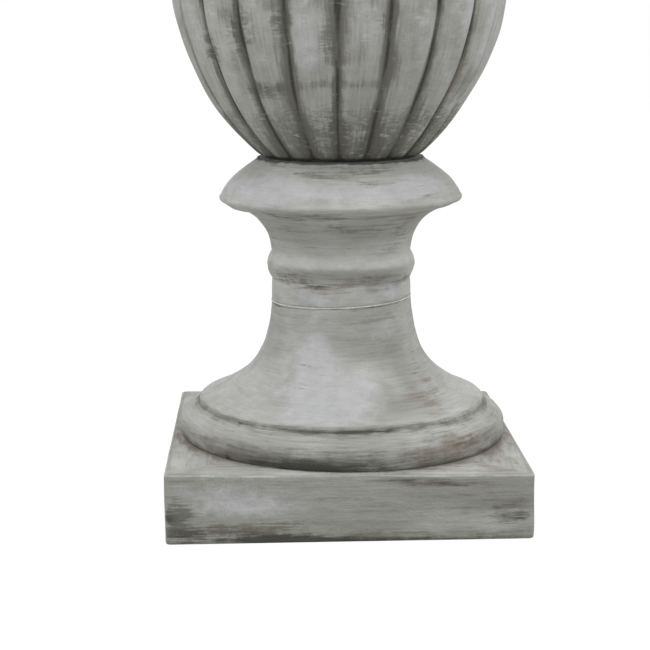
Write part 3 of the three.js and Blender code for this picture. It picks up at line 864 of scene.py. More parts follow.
# Patches round the plinth, from the front's middle by the right side (330), the back (660) and the left side (990).
PLINTH_PATCHES = {
    "even": patch_rows((110, 16, 60, 14, -0.35), (130, 44, 60, 14, 0.2)),
    "cool": patch_rows(
        (-106, 42, 56, 19, 0.6), (-70, 32, 60, 9, 0.4), (330, 40, 60, 14, 0.7), (640, 30, 70, 14, 0.7),
        (980, 40, 60, 14, 0.7),
    ),
    "wash": patch_rows(
        (66, 55, 52, 5, 0.6, -0.06), (-90, 11, 80, 6, 0.5), (60, 6, 110, 4, 0.35), (-158, 27, 8, 9, 0.6),
        (148, 25, 18, 11, 0.45), (-5, 40, 120, 2.0, 0.3), (20, 29, 120, 1.6, 0.25), (120, 40, 40, 16, 0.25),
        (330, 10, 120, 8, 0.5), (400, 50, 50, 5, 0.45), (660, 8, 130, 8, 0.5), (600, 46, 50, 5, 0.45),
        (990, 10, 120, 8, 0.5),
    ),
    "warm": patch_rows(
        (-100, 11, 70, 10, 0.5), (20, 3, 80, 4, 0.5), (85, 53, 40, 4, 0.55, -0.08), (-150, 62, 20, 8, 0.4),
        (140, 62, 24, 8, 0.45), (300, 6, 90, 6, 0.6), (700, 6, 90, 6, 0.6), (1010, 6, 90, 6, 0.6),
    ),
    # The rows at heights of 1.5 to 2 mm are a thin dark line along the plinth's bottom edge: painted contact shadow.
    "grime": patch_rows(
        (-104, 7, 62, 7, 0.45), (-60, 4, 50, 4, 0.4), (-148, 13, 20, 8, 0.4), (-40, 3, 60, 4, 0.5),
        (50, 1.5, 110, 2.4, 0.55), (-161, 24, 6, 6, 0.45), (90, 52, 26, 1.8, 0.6, -0.1), (50, 56, 20, 1.4, 0.5),
        (148, 20, 14, 1.6, 0.6, -0.12), (136, 31, 13, 1.3, 0.55, 0.12), (150, 36, 10, 1.2, 0.45),
        (128, 24, 8, 1.2, 0.4, 0.2), (330, 2, 130, 2, 0.4), (660, 2, 130, 2, 0.4), (990, 2, 130, 2, 0.4),
    ),
    "rubbed": patch_rows(
        (-106, 10, 70, 11, 0.75), (-154, 24, 16, 24, 0.6), (145, 24, 20, 14, 0.5), (75, 53, 50, 5, 0.4),
        (-150, 30, 16, 12, 0.4), (0, 5, 100, 5, 0.45), (340, 10, 100, 8, 0.5), (680, 10, 100, 8, 0.5),
        (980, 10, 100, 8, 0.5),
    ),
}


# ---- Waist
@dataclass
class WaistBead:
    """The wiped bead of sealant where the stem stands on the pedestal, a little proud of both."""

    radius: float = 66.9
    bore: float = 51.9
    foot: float = 193.0
    thickness: float = 1.5
    proud: float = 0.7
    columns: int = 240
    tilt: ClassVar[float] = 1.9  # degrees that the joint runs out of level
    tilted: ClassVar[tuple[float, ...]] = (140, 190, 196, 213)  # heights where the tilt starts, is full, and ends

    @staticmethod
    def rock(x: np.ndarray, z: np.ndarray) -> np.ndarray:
        """How far a point near the waist is raised, because the joint runs out of level, up to the right.

        Args:
            x: The points' distance to the right of the axis.
            z: Their height.

        Returns:
            The rise of each point, in millimetres.
        """
        return x * math.tan(math.radians(WaistBead.tilt)) * np.interp(z, WaistBead.tilted, [0, 1, 1, 0])

    def build(self) -> Piece:
        """Turns the bead, rocks it with the joint and makes its width uneven."""
        top = self.foot + self.thickness
        out = Outline([(self.bore, self.foot), (self.radius - 0.6, self.foot)])
        out.bow((self.radius - 0.5, (self.foot + top) / 2), 0.5 + self.proud, self.thickness / 2, -80, 80, 6)
        out.to((self.radius - 0.6, top), (self.bore, top))
        piece = turned("waist_sealant", out, self.columns)
        surface = Surface(piece)
        uneven = 1 + 0.0016 * ripple((surface.angle, 47, 0.3)) - 0.0016
        surface.place(surface.x * uneven, surface.y * uneven, surface.z + self.rock(surface.x, surface.z))
        return dress(piece, SEALANT)


# ---- Stem and collar
@dataclass
class Stem:
    """Short hollow stem with its astragal, cavetto, projecting collar and ogee shoulder."""

    radius: float = 66.9
    bore: float = 51.9
    foot: float = 194.5
    astragal: Point = (214.5, 239.5)  # from one height to another
    astragal_projection: float = 4.1
    underside: float = 284.5
    nose: Point = (111.7, 291.5)  # centre of the nose's ellipse
    nose_depth: float = 4.5
    nose_half_height: float = 3.5
    seat: Point = (79.0, 329.0)
    columns: int = 300

    def outline(self) -> Outline:
        """Draws the closed half-section, from the stem's foot round the outside and down the bore."""
        low, high = self.astragal
        half = (high - low) / 2
        arc = (half**2 + self.astragal_projection**2) / (2 * self.astragal_projection)
        spread = math.degrees(math.asin(half / arc))
        out = Outline([(self.bore, self.foot), (self.radius - 9, self.foot), (self.radius - 0.6, self.foot)])
        out.to((self.radius, self.foot + 0.6)).line((self.radius, low), 8).mark("astragal_low")
        centre = (self.radius + self.astragal_projection - arc, low + half)
        out.bow(centre, arc, arc, -spread, spread, 16).mark("astragal_high")
        out.sweep((self.nose[0] - 6, self.underside), (0, 0.035), (0.985, 0.2), 26).mark("underside")
        out.bow(self.nose, self.nose_depth, self.nose_half_height, -80, 50, 14).mark("nose")
        out.sweep(self.seat, (0.18, 0.56), (-0.04, 0.07), 26).mark("seat")
        out.line((self.seat[0] - 16, self.seat[1]), 5).to((self.bore, self.seat[1]))
        out.line((self.bore, self.foot + 8), 6)
        return out

    def build(self) -> Piece:
        """Turns the section, sags the lip on the left as the cast one is, and lays the coats."""
        outline = self.outline()
        piece = turned("stem_casting", outline, self.columns)
        surface = Surface(piece)
        z, run, marks = surface.z, surface.run, outline.marks
        hand = 0.45 * ripple((surface.angle, 61, 1.4), (z, 47, 0.2))
        hand += 0.2 * ripple((surface.angle, 23, 0.7), (z, 17, 0))
        free = np.interp(z, [200, 212, 318, 328], [0, 1, 1, 0])
        outer = run < marks["seat"] + 0.01
        swell = np.where(outer, 1 + (hand - 0.5) / 100 * free, 1.0)
        lip = bell(run - marks["underside"], 9.0) * np.where(outer, 1.0, 0.0)
        sag = 1.9 * lip * ramp(-surface.x, 100) ** 1.5
        surface.place(surface.x * swell, surface.y * swell, z + WaistBead.rock(surface.x, z) - sag)
        self.paint(surface, outline)
        return piece

    def paint(self, surface: Surface, outline: Outline) -> None:
        """Lays the wash beside the astragal, under the collar and round the bowl's seat, partly as painted shade in
        the creases and under the collar.

        Args:
            surface: The casting's points.
            outline: Its half-section with its marks.
        """
        run, marks = surface.run, outline.marks
        outer = run < marks["seat"] + 20
        low, high = abs(run - marks["astragal_low"]), abs(run - marks["astragal_high"])
        under = marks["underside"] - run
        seat = abs(run - marks["seat"])
        ragged = 1 + 0.4 * ripple((surface.angle, 37, 1.2)) + 0.3 * ripple((surface.angle, 11, 0.4))
        # Pale along the collar's lip, partly wear and partly painted highlight; the astragal's upper half gets a
        # painted highlight in the store below.
        lip = 0.35 * bell(run - marks["nose"] + 6, 4)
        # Partly the real wash and partly painted shade: darker in the creases beside the astragal, in the cavetto
        # under the collar and round the seat.
        wash = 0.4 * fade(low, 7.0 * ragged) + 0.45 * fade(high, 3.0)
        wash += 0.42 * np.where(under > -2, fade(abs(under - 8), 12), 0.0)
        wash += 0.55 * fade(seat, 5.0 * ragged)
        grime = 0.3 * bell(low, 1.2) + 0.45 * bell(under + 3, 1.6) + 0.95 * bell(seat, 2.4 * ragged)
        surface.store(
            wash=np.where(outer, wash + surface.patches(STEM_WASH), 0.5),
            grime=np.where(outer, grime + surface.patches(STEM_GRIME_AND_SHADE), 0.1),
            cool=np.where(outer, surface.patches(STEM_COOL), 0.0),
            warm=np.where(outer, surface.patches(STEM_WARM), 0.1),
            worn=(1.1 * bell(surface.z - 236, 6.5) + lip) * outer,
            rubbed=np.where(outer, surface.patches(STEM_RUBBED), 0.0),
            even=(0.35 * bell(surface.z - 264, 17) + surface.patches(STEM_EVEN_AND_SHADE)) * outer,
        )
        surface.store_brush(surface.x, surface.y, run + 211)


# Patches of the flat darker coat; the one under the astragal, at a height of 224, is painted shade on its lower half.
STEM_EVEN_AND_SHADE = patch_rows(
    (-90, 224, 90, 8, 0.75), (-82, 321, 60, 6, 0.5), (-92, 262, 40, 16, 0.15), (-60, 214, 30, 8, 0.35),
    (60, 318, 90, 6, 0.4), (100, 214, 60, 8, 0.4),
)
STEM_COOL = patch_rows(
    (-130, 305, 50, 12, 1.3), (-75, 303, 60, 8, 0.8), (-48, 309, 34, 10, 0.9), (-116, 205, 22, 9, 1.0),
    (-52, 207, 16, 10, 0.9), (30, 305, 60, 9, 0.8), (120, 306, 60, 9, 0.8), (70, 208, 24, 8, 0.7),
    (-170, 304, 40, 9, 0.7),
)
STEM_WASH = patch_rows(
    (-75, 324, 34, 4, 0.4), (-104, 318, 30, 2.5, 0.4, -0.08), (-78, 313, 26, 2.5, 0.35, -0.1),
    (-70, 293, 30, 3, 0.35), (-104, 283, 30, 5, 0.35), (-84, 268, 40, 8, 0.2), (-120, 262, 18, 10, 0.2),
    (-48, 250, 18, 12, 0.3, 0.3), (-80, 222, 60, 3, 0.2), (-60, 208, 36, 4, 0.3, 0.2), (40, 262, 40, 12, 0.35),
    (130, 258, 44, 14, 0.35), (100, 318, 50, 4, 0.4),
)
STEM_WARM = patch_rows(
    (-95, 210, 24, 8, 0.4, 0.1), (-136, 222, 24, 9, 0.55), (-114, 212, 16, 5, 0.35), (-74, 218, 38, 6, 0.4, 0.12),
    (-60, 276, 40, 6, 0.55), (-90, 281, 60, 4, 0.45), (-44, 262, 18, 16, 0.45), (-132, 272, 16, 12, 0.4),
    (-46, 302, 26, 5, 0.3), (60, 205, 30, 6, 0.5), (150, 274, 40, 7, 0.4), (10, 302, 30, 5, 0.3),
)
STEM_RUBBED = patch_rows(
    (-90, 321, 60, 6, 0.45), (-76, 312, 30, 4, 0.4), (-88, 219, 56, 6, 0.3), (-136, 221, 22, 9, 0.5),
    (-116, 214, 14, 6, 0.4), (-88, 275, 50, 8, 0.35), (-128, 278, 26, 8, 0.4), (-52, 256, 30, 14, 0.35),
    (60, 262, 60, 14, 0.45), (150, 262, 60, 14, 0.45), (90, 318, 90, 7, 0.5),
)
STEM_GRIME_AND_SHADE = patch_rows(
    (-136, 221, 20, 3, 0.35), (-112, 213, 14, 2, 0.3, 0.1), (-131, 284, 9, 2.2, 0.5), (-127, 269, 2.4, 2, 0.4),
    (-44, 284, 22, 1.6, 0.4, 0.1),
)


# ---- Bowl
@dataclass
class Bowl:
    """Bowl of twenty convex lobes under a bead, a plain neck and a rolled rim, hollow for the soil."""

    belly: Point = (157.0, 488.0)
    foot: Point = (76.5, 331.0)
    shoulder: Point = (134.0, 563.0)
    lower_fullness: float = 1.7
    upper_fullness: float = 2.2
    toe: float = 3.0
    lobes: int = 20
    lobe_depth: float = 8.5
    lobe_fullness: float = 2.6
    lobe_end: float = 558.0
    lobe_end_height: float = 22.0
    clocking: float = -93.2  # angle of the groove nearest the front
    bead: float = 6.0
    neck: Point = (117.75, 605.0)
    rim_radius: float = 167.65
    rim_top: float = 711.0
    rim_height: float = 25.0
    rim_roll: float = 12.0
    rim_undercut: float = 5.0
    wall: float = 19.0
    neck_wall: float = 15.0
    mouth_wall: float = 26.0
    floor: float = 349.0
    fillet: float = 10.0
    bolt_hole: float = 5.5
    drain_radius: float = 10.0
    drain_offset: float = 38.0
    columns_each: int = 24
    mottled_below: float = 400.0  # the lower third, with its scratches and mottling
    stroke_line: float = 401.5  # a thin dark stroke round the lobes
    front_groove_wide: float = 418.0  # the front groove's wash is wider above this height

    def reach(self, below: bool) -> float:
        """How far the superellipse below or above the belly reaches from it."""
        end = self.foot if below else self.shoulder
        fullness = self.lower_fullness if below else self.upper_fullness
        share = (1 - (end[0] / self.belly[0]) ** fullness) ** (1 / fullness)
        return abs(end[1] - self.belly[1]) / share

    def crest(self, height: np.ndarray) -> np.ndarray:
        """Radius over the lobes at each height."""
        below = height < self.belly[1]
        fullness = np.where(below, self.lower_fullness, self.upper_fullness)
        reach = np.where(below, self.reach(True), self.reach(False))
        share = np.abs(height - self.belly[1]) / reach
        return self.belly[0] * (1 - share**fullness) ** (1 / fullness)

    def outline(self) -> Outline:
        """Draws the closed half-section: underside, lobed body, bead, neck, rim, lining, floor and bolt hole."""
        band = self.shoulder[0] * (1 - self.lobe_depth / self.belly[0])
        foot_radius, foot = self.foot
        out = Outline([(self.bolt_hole, foot), (20.0, foot)]).line((foot_radius - self.toe, foot), 5).mark("toe")
        heights = [foot + v for v in (0.25, 0.7, 1.3, 2.0, 3.0)]
        heights += list(np.linspace(foot + 3, self.lobe_end - self.lobe_end_height, 62)[1:])
        heights += list(np.linspace(self.lobe_end - self.lobe_end_height, self.lobe_end, 13)[1:])
        crests = self.crest(np.array(heights))
        out.to(*[(float(r), float(z)) for r, z in zip(crests, heights)]).mark("bead")
        bead_height = self.shoulder[1] + self.bead
        out.bow((band, bead_height), self.bead, self.bead, -90, 90, 12)
        out.sweep(self.neck, (0.75, 0.1), (0, 0.5), 10)
        underside = (self.rim_radius - self.rim_roll - self.rim_undercut, self.rim_top - self.rim_height)
        out.sweep(underside, (0, 0.5), (0.6, 0.25), 20)
        roll = (self.rim_radius - self.rim_roll, self.rim_top - self.rim_height / 2)
        out.bow(roll, self.rim_roll, self.rim_height / 2, -90, 90, 18)
        out.to((self.rim_radius - self.mouth_wall + 1.5, self.rim_top)).mark("mouth")
        mouth = (self.rim_radius - self.mouth_wall, self.rim_top - 1.5)
        out.to(mouth).sweep((self.neck[0] - self.neck_wall, self.neck[1]), (0.5, 0.4), (0, 0.5), 14)
        wall_foot = self.floor + self.fillet
        levels = np.linspace(self.shoulder[1], wall_foot, 15)
        lining = [(float(r) - self.wall, float(z)) for r, z in zip(self.crest(levels), levels)]
        out.sweep(lining[0], (0, 0.4), (0.3, 0.3), 6).to(*lining[1:])
        floor_edge = lining[-1][0] - self.fillet
        out.sweep((floor_edge, self.floor), (0, 0.3), (0.7, 0), 6).line((20.0, self.floor), 3)
        out.to((self.bolt_hole, self.floor)).line((self.bolt_hole, self.foot[1] + 6), 2)
        return out

    def build(self) -> Piece:
        """Turns the section, draws the grooves in, cuts the drain hole and lays the coats."""
        outline = self.outline()
        piece = turned("bowl_casting", outline, self.lobes * self.columns_each)
        surface = Surface(piece)
        pitch = 360 / self.lobes
        turns = np.mod((surface.angle + 90) / pitch, self.lobes)
        number, share = np.divmod(turns + 1e-6, 1)
        across = 2 * share - 1
        gathered = across + 0.6 * np.sin(math.pi * across) / math.pi
        angle = np.radians(self.clocking + (number + (gathered + 1) / 2) * pitch)
        lobed = (surface.run > outline.marks["toe"] + 1e-6) & (surface.run <= outline.marks["bead"] + 1e-6)
        crest = surface.radius
        depth = crest * self.lobe_depth / self.belly[0]
        convex = 1 - np.abs(gathered) ** self.lobe_fullness
        ended = np.clip((surface.z - self.lobe_end + self.lobe_end_height) / self.lobe_end_height, 0, None)
        height = np.maximum(convex - ended**2, 0)
        above = np.minimum(surface.z - self.foot[1], self.toe)
        toe = self.toe - np.sqrt(np.maximum(self.toe**2 - (self.toe - above) ** 2, 0))
        hand = 0.4 * ripple((number * 37, 53, 0.6), (surface.z, 83, 0.3)) - 0.4
        radius = np.where(lobed, crest - depth * (1 - height) - toe + hand * (height > 0.02), crest)
        off_centre = 1.3 * bell(surface.z - 375, 32) * lobed
        surface.place(radius * np.cos(angle) - off_centre, radius * np.sin(angle), surface.z)
        self.paint(surface, outline, number, gathered, lobed, crest)
        hole = Vector((self.drain_offset, 0, (self.foot[1] + self.floor) / 2)) * MM
        return bored(piece, hole, self.drain_radius, (self.floor - self.foot[1] + 10) * MM, "MANIFOLD")

    def paint(
        self,
        surface: Surface,
        outline: Outline,
        number: np.ndarray,
        across: np.ndarray,
        lobed: np.ndarray,
        crest: np.ndarray,
    ) -> None:
        """Lays the wash in the grooves, round the foot and over the mottled lower third, partly as painted shade,
        with painted highlight on the crests and painted light towards the sides.

        Args:
            surface: The casting's points.
            outline: Its half-section with its marks.
            number: Each point's lobe, counted from the groove nearest the front.
            across: Where each point lies across its lobe, from -1 to 1.
            lobed: Which points lie on the lobes.
            crest: Radius over the lobes at each point's height.
        """
        z, run, marks = surface.z, surface.run, outline.marks
        gap = (1 - np.abs(across)) * math.pi * crest / self.lobes
        groove = np.mod(number + (across > 0), self.lobes)
        own = ripple((groove * 29, 71, 0.9), (z, 96, 1.0))
        above_foot, below = z - self.foot[1], self.mottled_below - z
        low = fade(above_foot, 26)
        width = 4.6 + 1.2 * own + 4.5 * low
        for index, factor, above in GROOVE_WIDTHS:
            width = np.where((groove == index % self.lobes) & (z > above), width * factor, width)
        width = np.maximum(width, 2.2)
        # Wash in and beside each groove: partly the real wash, partly painted shade on the lobes' flanks.
        beside = 0.95 * bell(gap, width) + 0.16 * fade(gap, 9)
        # Darker at the bowl's foot, where it stands on the collar: partly wash, partly painted shade.
        foot = 0.5 * fade(above_foot, 11) + 0.05 * ramp(below, 40)
        line = 0.32 * bell(z - self.stroke_line, 1.3) * (0.6 + 0.6 * ripple((surface.angle, 31, 0.0)))
        wash = np.where(lobed, beside + foot + line, 0.35)
        # A dark core at each groove's bottom and a dark line at the foot: partly wash settled there, partly painted
        # shade.
        core = np.where((groove == 0) & (z > self.front_groove_wide), 3.6, 2.2 + 0.8 * low)
        grime = bell(gap, core) * (0.75 + 0.3 * own) + 0.95 * bell(above_foot, 2.6)
        # Painted light: these two masks make the bowl's paint lighter towards its left and its right sides.
        painted_light_left = bell(surface.round_to(-140), 36)
        painted_light_right = bell(surface.round_to(-35), 60)
        rubbed = 0.02 + (0.8 - 0.25 * painted_light_left) * ramp(below - 2, 32) + 0.25 * fade(gap, 6)
        scratched = 0.18 * ramp(below, 30) * ramp(above_foot, 8) * (1 - fade(gap, 4))
        plain = (run > marks["bead"]) & (run < marks["mouth"] + 1)
        bead_low = abs(z - self.shoulder[1])
        bead_high = abs(z - self.shoulder[1] - 2 * self.bead)
        rim = abs(z - self.rim_top + self.rim_height)
        # Wash and a dark core in the creases at the bead and under the rim: partly wash, partly painted shade.
        rings = 0.8 * fade(bead_low, 3) + 0.7 * fade(bead_high, 3) + 0.8 * fade(rim, 4)
        ends = 0.6 * fade(abs(z - self.lobe_end), 4) * lobed
        wash = np.where(plain, 0.15 + rings, wash + ends)
        deep = 0.8 * fade(bead_low, 1.0) + 0.7 * fade(bead_high, 1.0) + 0.7 * fade(rim, 1.2)
        inside = run > marks["mouth"] + 1
        surface.store(
            wash=np.where(inside, 0.45, wash + surface.patches(BOWL_WASH)),
            grime=np.where(inside, 0.1, np.where(plain, deep, np.where(lobed, grime, 0.3))),
            cool=np.where(inside, 0.0, 0.65 * surface.patches(BOWL_COOL)),
            warm=np.where(inside, 0.15, surface.patches(BOWL_WARM)),
            # Pale along the upper lobes' crests, partly wear and partly painted highlight, with pale scratches low
            # down.
            worn=(0.2 * bell(across, 0.5) * ramp(z - 380, 60) + scratched) * lobed,
            rubbed=np.where(lobed, rubbed + 1.3 * surface.patches(BOWL_RUBBED), 0.2),
            # Darker towards the bowl's lower part, partly painted shade, and lighter towards the sides as painted
            # light.
            even=np.where(lobed, 0.2 + 0.3 * ramp(430 - z, 80) - 0.25 * painted_light_right - 0.12 * painted_light_left, 0.0),
        )
        radians = np.radians(surface.angle)
        steady = self.belly[0]
        surface.store_brush(steady * np.cos(radians), steady * np.sin(radians), run)


# Grooves that hold a wider band of wash: number from the front groove, factor, and the height it starts at.
GROOVE_WIDTHS = (
    (0, 2.3, Bowl.front_groove_wide), (-1, 1.5, 0.0), (1, 1.3, 0.0), (2, 0.9, 0.0),
    (3, 0.75, 0.0), (4, 0.8, 0.0), (7, 1.8, Bowl.mottled_below), (12, 1.9, 0.0),
)
BOWL_COOL = patch_rows(
    (-104, 452, 16, 40, 0.7), (-104, 420, 12, 24, 0.5), (-82, 460, 18, 34, 0.8), (-62, 445, 14, 34, 0.8),
    (-44, 452, 12, 30, 0.6), (-122, 462, 12, 26, 0.5), (-150, 455, 16, 36, 0.6), (-26, 450, 22, 50, 1.3),
    (-44, 470, 14, 30, 0.8), (-48, 400, 12, 20, 0.6), (16, 470, 18, 44, 0.8), (52, 450, 18, 40, 0.8),
    (88, 465, 18, 44, 0.8), (124, 455, 18, 40, 0.8), (160, 470, 18, 44, 0.8), (-70, 640, 60, 22, 0.7),
    (-130, 700, 60, 12, 0.7), (20, 645, 70, 22, 0.7), (110, 640, 80, 26, 0.7), (60, 700, 70, 12, 0.6),
    (-20, 520, 20, 20, 0.5),
)
BOWL_WASH = patch_rows(
    (-118, 446, 14, 20, 0.25), (-135, 430, 14, 18, 0.2), (-100, 478, 8, 14, 0.4), (-82, 476, 10, 12, 0.4),
    (-128, 399, 18, 7, 0.35), (-115, 399, 16, 4, 0.5), (-84, 437, 14, 18, 0.25), (-83, 402, 18, 4, 0.45),
    (-72, 414, 7, 14, 0.38), (-52, 372, 18, 14, 0.38), (-100, 360, 26, 12, 0.3), (-134, 462, 9, 8, 0.5),
    (-116, 470, 8, 7, 0.45), (-100, 402, 14, 5, 0.5), (-74, 462, 10, 6, 0.35, 0.3), (-66, 350, 24, 12, 0.35),
    (-30, 400, 16, 20, 0.4), (30, 420, 20, 30, 0.35), (100, 400, 24, 30, 0.35), (150, 420, 20, 30, 0.35),
    (40, 600, 70, 20, 0.3), (-150, 620, 70, 24, 0.3),
)
BOWL_RUBBED = patch_rows(
    (-128, 450, 22, 26, 0.6), (-112, 455, 12, 14, 0.6), (-145, 430, 16, 22, 0.65), (-124, 397, 24, 9, 0.65),
    (-97, 440, 9, 22, 0.5), (-78, 452, 12, 16, 0.45), (-66, 432, 9, 16, 0.38), (-40, 420, 14, 20, 0.3),
    (-10, 450, 20, 24, 0.4), (40, 440, 24, 30, 0.4), (90, 460, 24, 30, 0.4), (140, 440, 24, 30, 0.4),
)
BOWL_WARM = patch_rows(
    (-70, 410, 5, 12, 0.45), (-40, 402, 7, 26, 0.7), (-50, 350, 18, 9, 0.6), (-30, 372, 10, 20, 0.4),
    (-125, 452, 10, 14, 0.2), (40, 380, 14, 22, 0.5), (110, 430, 10, 30, 0.5), (170, 390, 14, 22, 0.5),
    (80, 620, 60, 12, 0.35),
)


# ---- Fixings and plug
@dataclass
class Fixings:
    """The long bolt with its washers and nut, and the flat bar that it pulls against inside the waist."""

    shank: float = 5.0
    across_flats: float = 17.0
    head: Point = (354.5, 361.0)
    nut: Point = (156.0, 164.0)
    end: float = 154.5
    hole: float = 5.3
    bar_end: float = 49.9
    bar_half_width: float = 12.5
    bar: Point = (166.0, 171.0)
    bar_hole: float = 5.5

    def hexagonal(self, name: str, outline: Outline, faces: Point, closed: bool) -> Piece:
        """Turns a section and flattens its wide part to a hexagon with the corners left chamfered.

        Args:
            name: The piece's name.
            outline: The half-section, with the hexagon drawn as its chamfered round.
            faces: Lowest and highest height of the hexagon.
            closed: Whether the section is a ring.

        Returns:
            The piece.
        """
        piece = turned(name, outline, 96, closed)
        surface = Surface(piece)
        flat = self.across_flats / 2
        off = np.mod(surface.angle + 30, 60) - 30
        hexagon = flat / np.cos(np.radians(off))
        within = (surface.z > faces[0] - 1e-3) & (surface.z < faces[1] + 1e-3) & (surface.radius > flat * 0.9)
        shrink = np.where(within, np.minimum(hexagon / np.maximum(surface.radius, 1e-6), 1), 1)
        surface.place(surface.x * shrink, surface.y * shrink, surface.z)
        return crisp(dress(piece, ZINC), 28)

    def section(self, low: float, high: float) -> list[Point]:
        """Outer side of a hexagon before its flats are cut: round, with a chamfer at both ends."""
        corner = self.across_flats / 2 / math.cos(math.pi / 6)
        flat = self.across_flats / 2 * 0.95
        return [(flat, low), (corner, low + 0.9), (corner, high - 0.9), (flat, high)]

    def thread(self, low: float, high: float, pitch: float = 1.5) -> list[Point]:
        """Crests and roots of the thread as rings, on the stretch that shows below the nut and in it."""
        turns = int((high - low) / pitch)
        points = []
        for i in range(turns):
            points += [(self.shank - 0.75, low + pitch * i), (self.shank, low + pitch * (i + 0.5))]
        return points

    def build_bolt(self) -> Piece:
        """Long hexagon bolt: chamfered end, thread, plain shank and head."""
        low, high = self.head
        out = Outline([(0.0, self.end), (self.shank - 1.4, self.end)])
        out.to(*self.thread(self.end + 1, self.end + 26))
        out.line((self.shank, self.end + 28), 1).line((self.shank, low), 6)
        out.to(*self.section(low, high), (0.0, high))
        return self.hexagonal("long_bolt", out, self.head, False)

    def build_nut(self) -> Piece:
        """Hexagon nut with both faces chamfered and its hole countersunk."""
        low, high = self.nut
        out = Outline([(self.hole, low + 0.8), (self.hole + 0.8, low)]).to(*self.section(low, high))
        out.to((self.hole + 0.8, high), (self.hole, high - 0.8))
        return self.hexagonal("bolt_nut", out, self.nut, True)

    def build_washer(self, name: str, diameter: float, low: float, thickness: float, finish: Speckled) -> Piece:
        """Stamped or moulded washer with its edges rounded over.

        Args:
            name: The piece's name.
            diameter: Outer diameter.
            low: Height of its underside.
            thickness: Its thickness.
            finish: What it is made of.

        Returns:
            The washer.
        """
        high, edge = low + thickness, thickness * 0.28
        side = diameter / 2 - edge
        out = Outline([(self.hole + 0.3, low)]).line((side, low), 3)
        out.bow((side, low + edge), edge, edge, -60, 0, 3).bow((side, high - edge), edge, edge, 0, 90, 4)
        out.line((self.hole + 0.3, high), 3).to((self.hole, high - 0.3), (self.hole, low + 0.3))
        return crisp(dress(turned(name, out, 64), finish), 40)

    def build_bar(self) -> Piece:
        """Sheared flat bar with a punched hole and softened edges."""
        bm = bmesh.new()
        size = Vector((2 * self.bar_end, 2 * self.bar_half_width, self.bar[1] - self.bar[0])) * MM
        middle = Vector((0, 0, (self.bar[0] + self.bar[1]) / 2)) * MM
        bmesh.ops.create_cube(bm, size=1.0, matrix=Matrix.Translation(middle) @ Matrix.Diagonal((*size, 1)))
        upright = [e for e in bm.edges if abs(e.verts[0].co.z - e.verts[1].co.z) > 1e-4]
        bmesh.ops.bevel(bm, geom=upright, offset=1.6 * MM, segments=4, affect="EDGES", profile=0.5, material=-1)
        rims = [e for e in bm.edges if abs(e.verts[0].co.z - e.verts[1].co.z) < 1e-6]
        bmesh.ops.bevel(bm, geom=rims, offset=0.5 * MM, segments=2, affect="EDGES", profile=0.5, material=-1)
        piece = bored(finished("cross_bar_flat", bm), middle, self.bar_hole, size.z * 3, "EXACT")
        return crisp(dress(piece, GALVANISED), 35)


@dataclass
class DrainPlug:
    """Rubber plug for the drain hole: a tapered toe, a flange on the floor and a waisted knob to pull it by."""

    offset: float = 38.0
    bottom: float = 334.0
    floor: float = 349.0
    radius: float = 9.7
    toe_taper: float = 1.0
    toe_height: float = 3.0
    flange: float = 14.0
    flange_thickness: float = 4.0
    chamfer: float = 1.3
    knob: float = 5.0
    knob_waist: float = 3.0
    top: float = 364.0

    def build(self) -> Piece:
        """Turns the plug about its own axis and moves it over the hole."""
        flange_top = self.floor + self.flange_thickness
        start = -math.degrees(math.acos(self.knob_waist / self.knob))
        out = Outline([(0.0, self.bottom), (self.radius - self.toe_taper - 0.6, self.bottom)])
        out.to((self.radius - self.toe_taper, self.bottom + 0.6), (self.radius, self.bottom + self.toe_height))
        out.line((self.radius, self.floor - 0.4), 4).to((self.radius + 0.4, self.floor))
        out.line((self.flange - 0.5, self.floor), 3).to((self.flange, self.floor + 0.5))
        rounding = (self.flange - self.chamfer, flange_top - self.chamfer)
        out.bow(rounding, self.chamfer, self.chamfer, 0, 90, 5).line((self.knob_waist + 1.5, flange_top), 5)
        out.to((self.knob_waist + 0.5, flange_top + 0.3))
        out.bow((0.0, self.top - self.knob), self.knob, self.knob, start, 89, 16).to((0.0, self.top))
        piece = turned("pull_plug", out, 64, False)
        surface = Surface(piece)
        surface.place(surface.x + self.offset, surface.y, surface.z)
        return dress(piece, RUBBER)


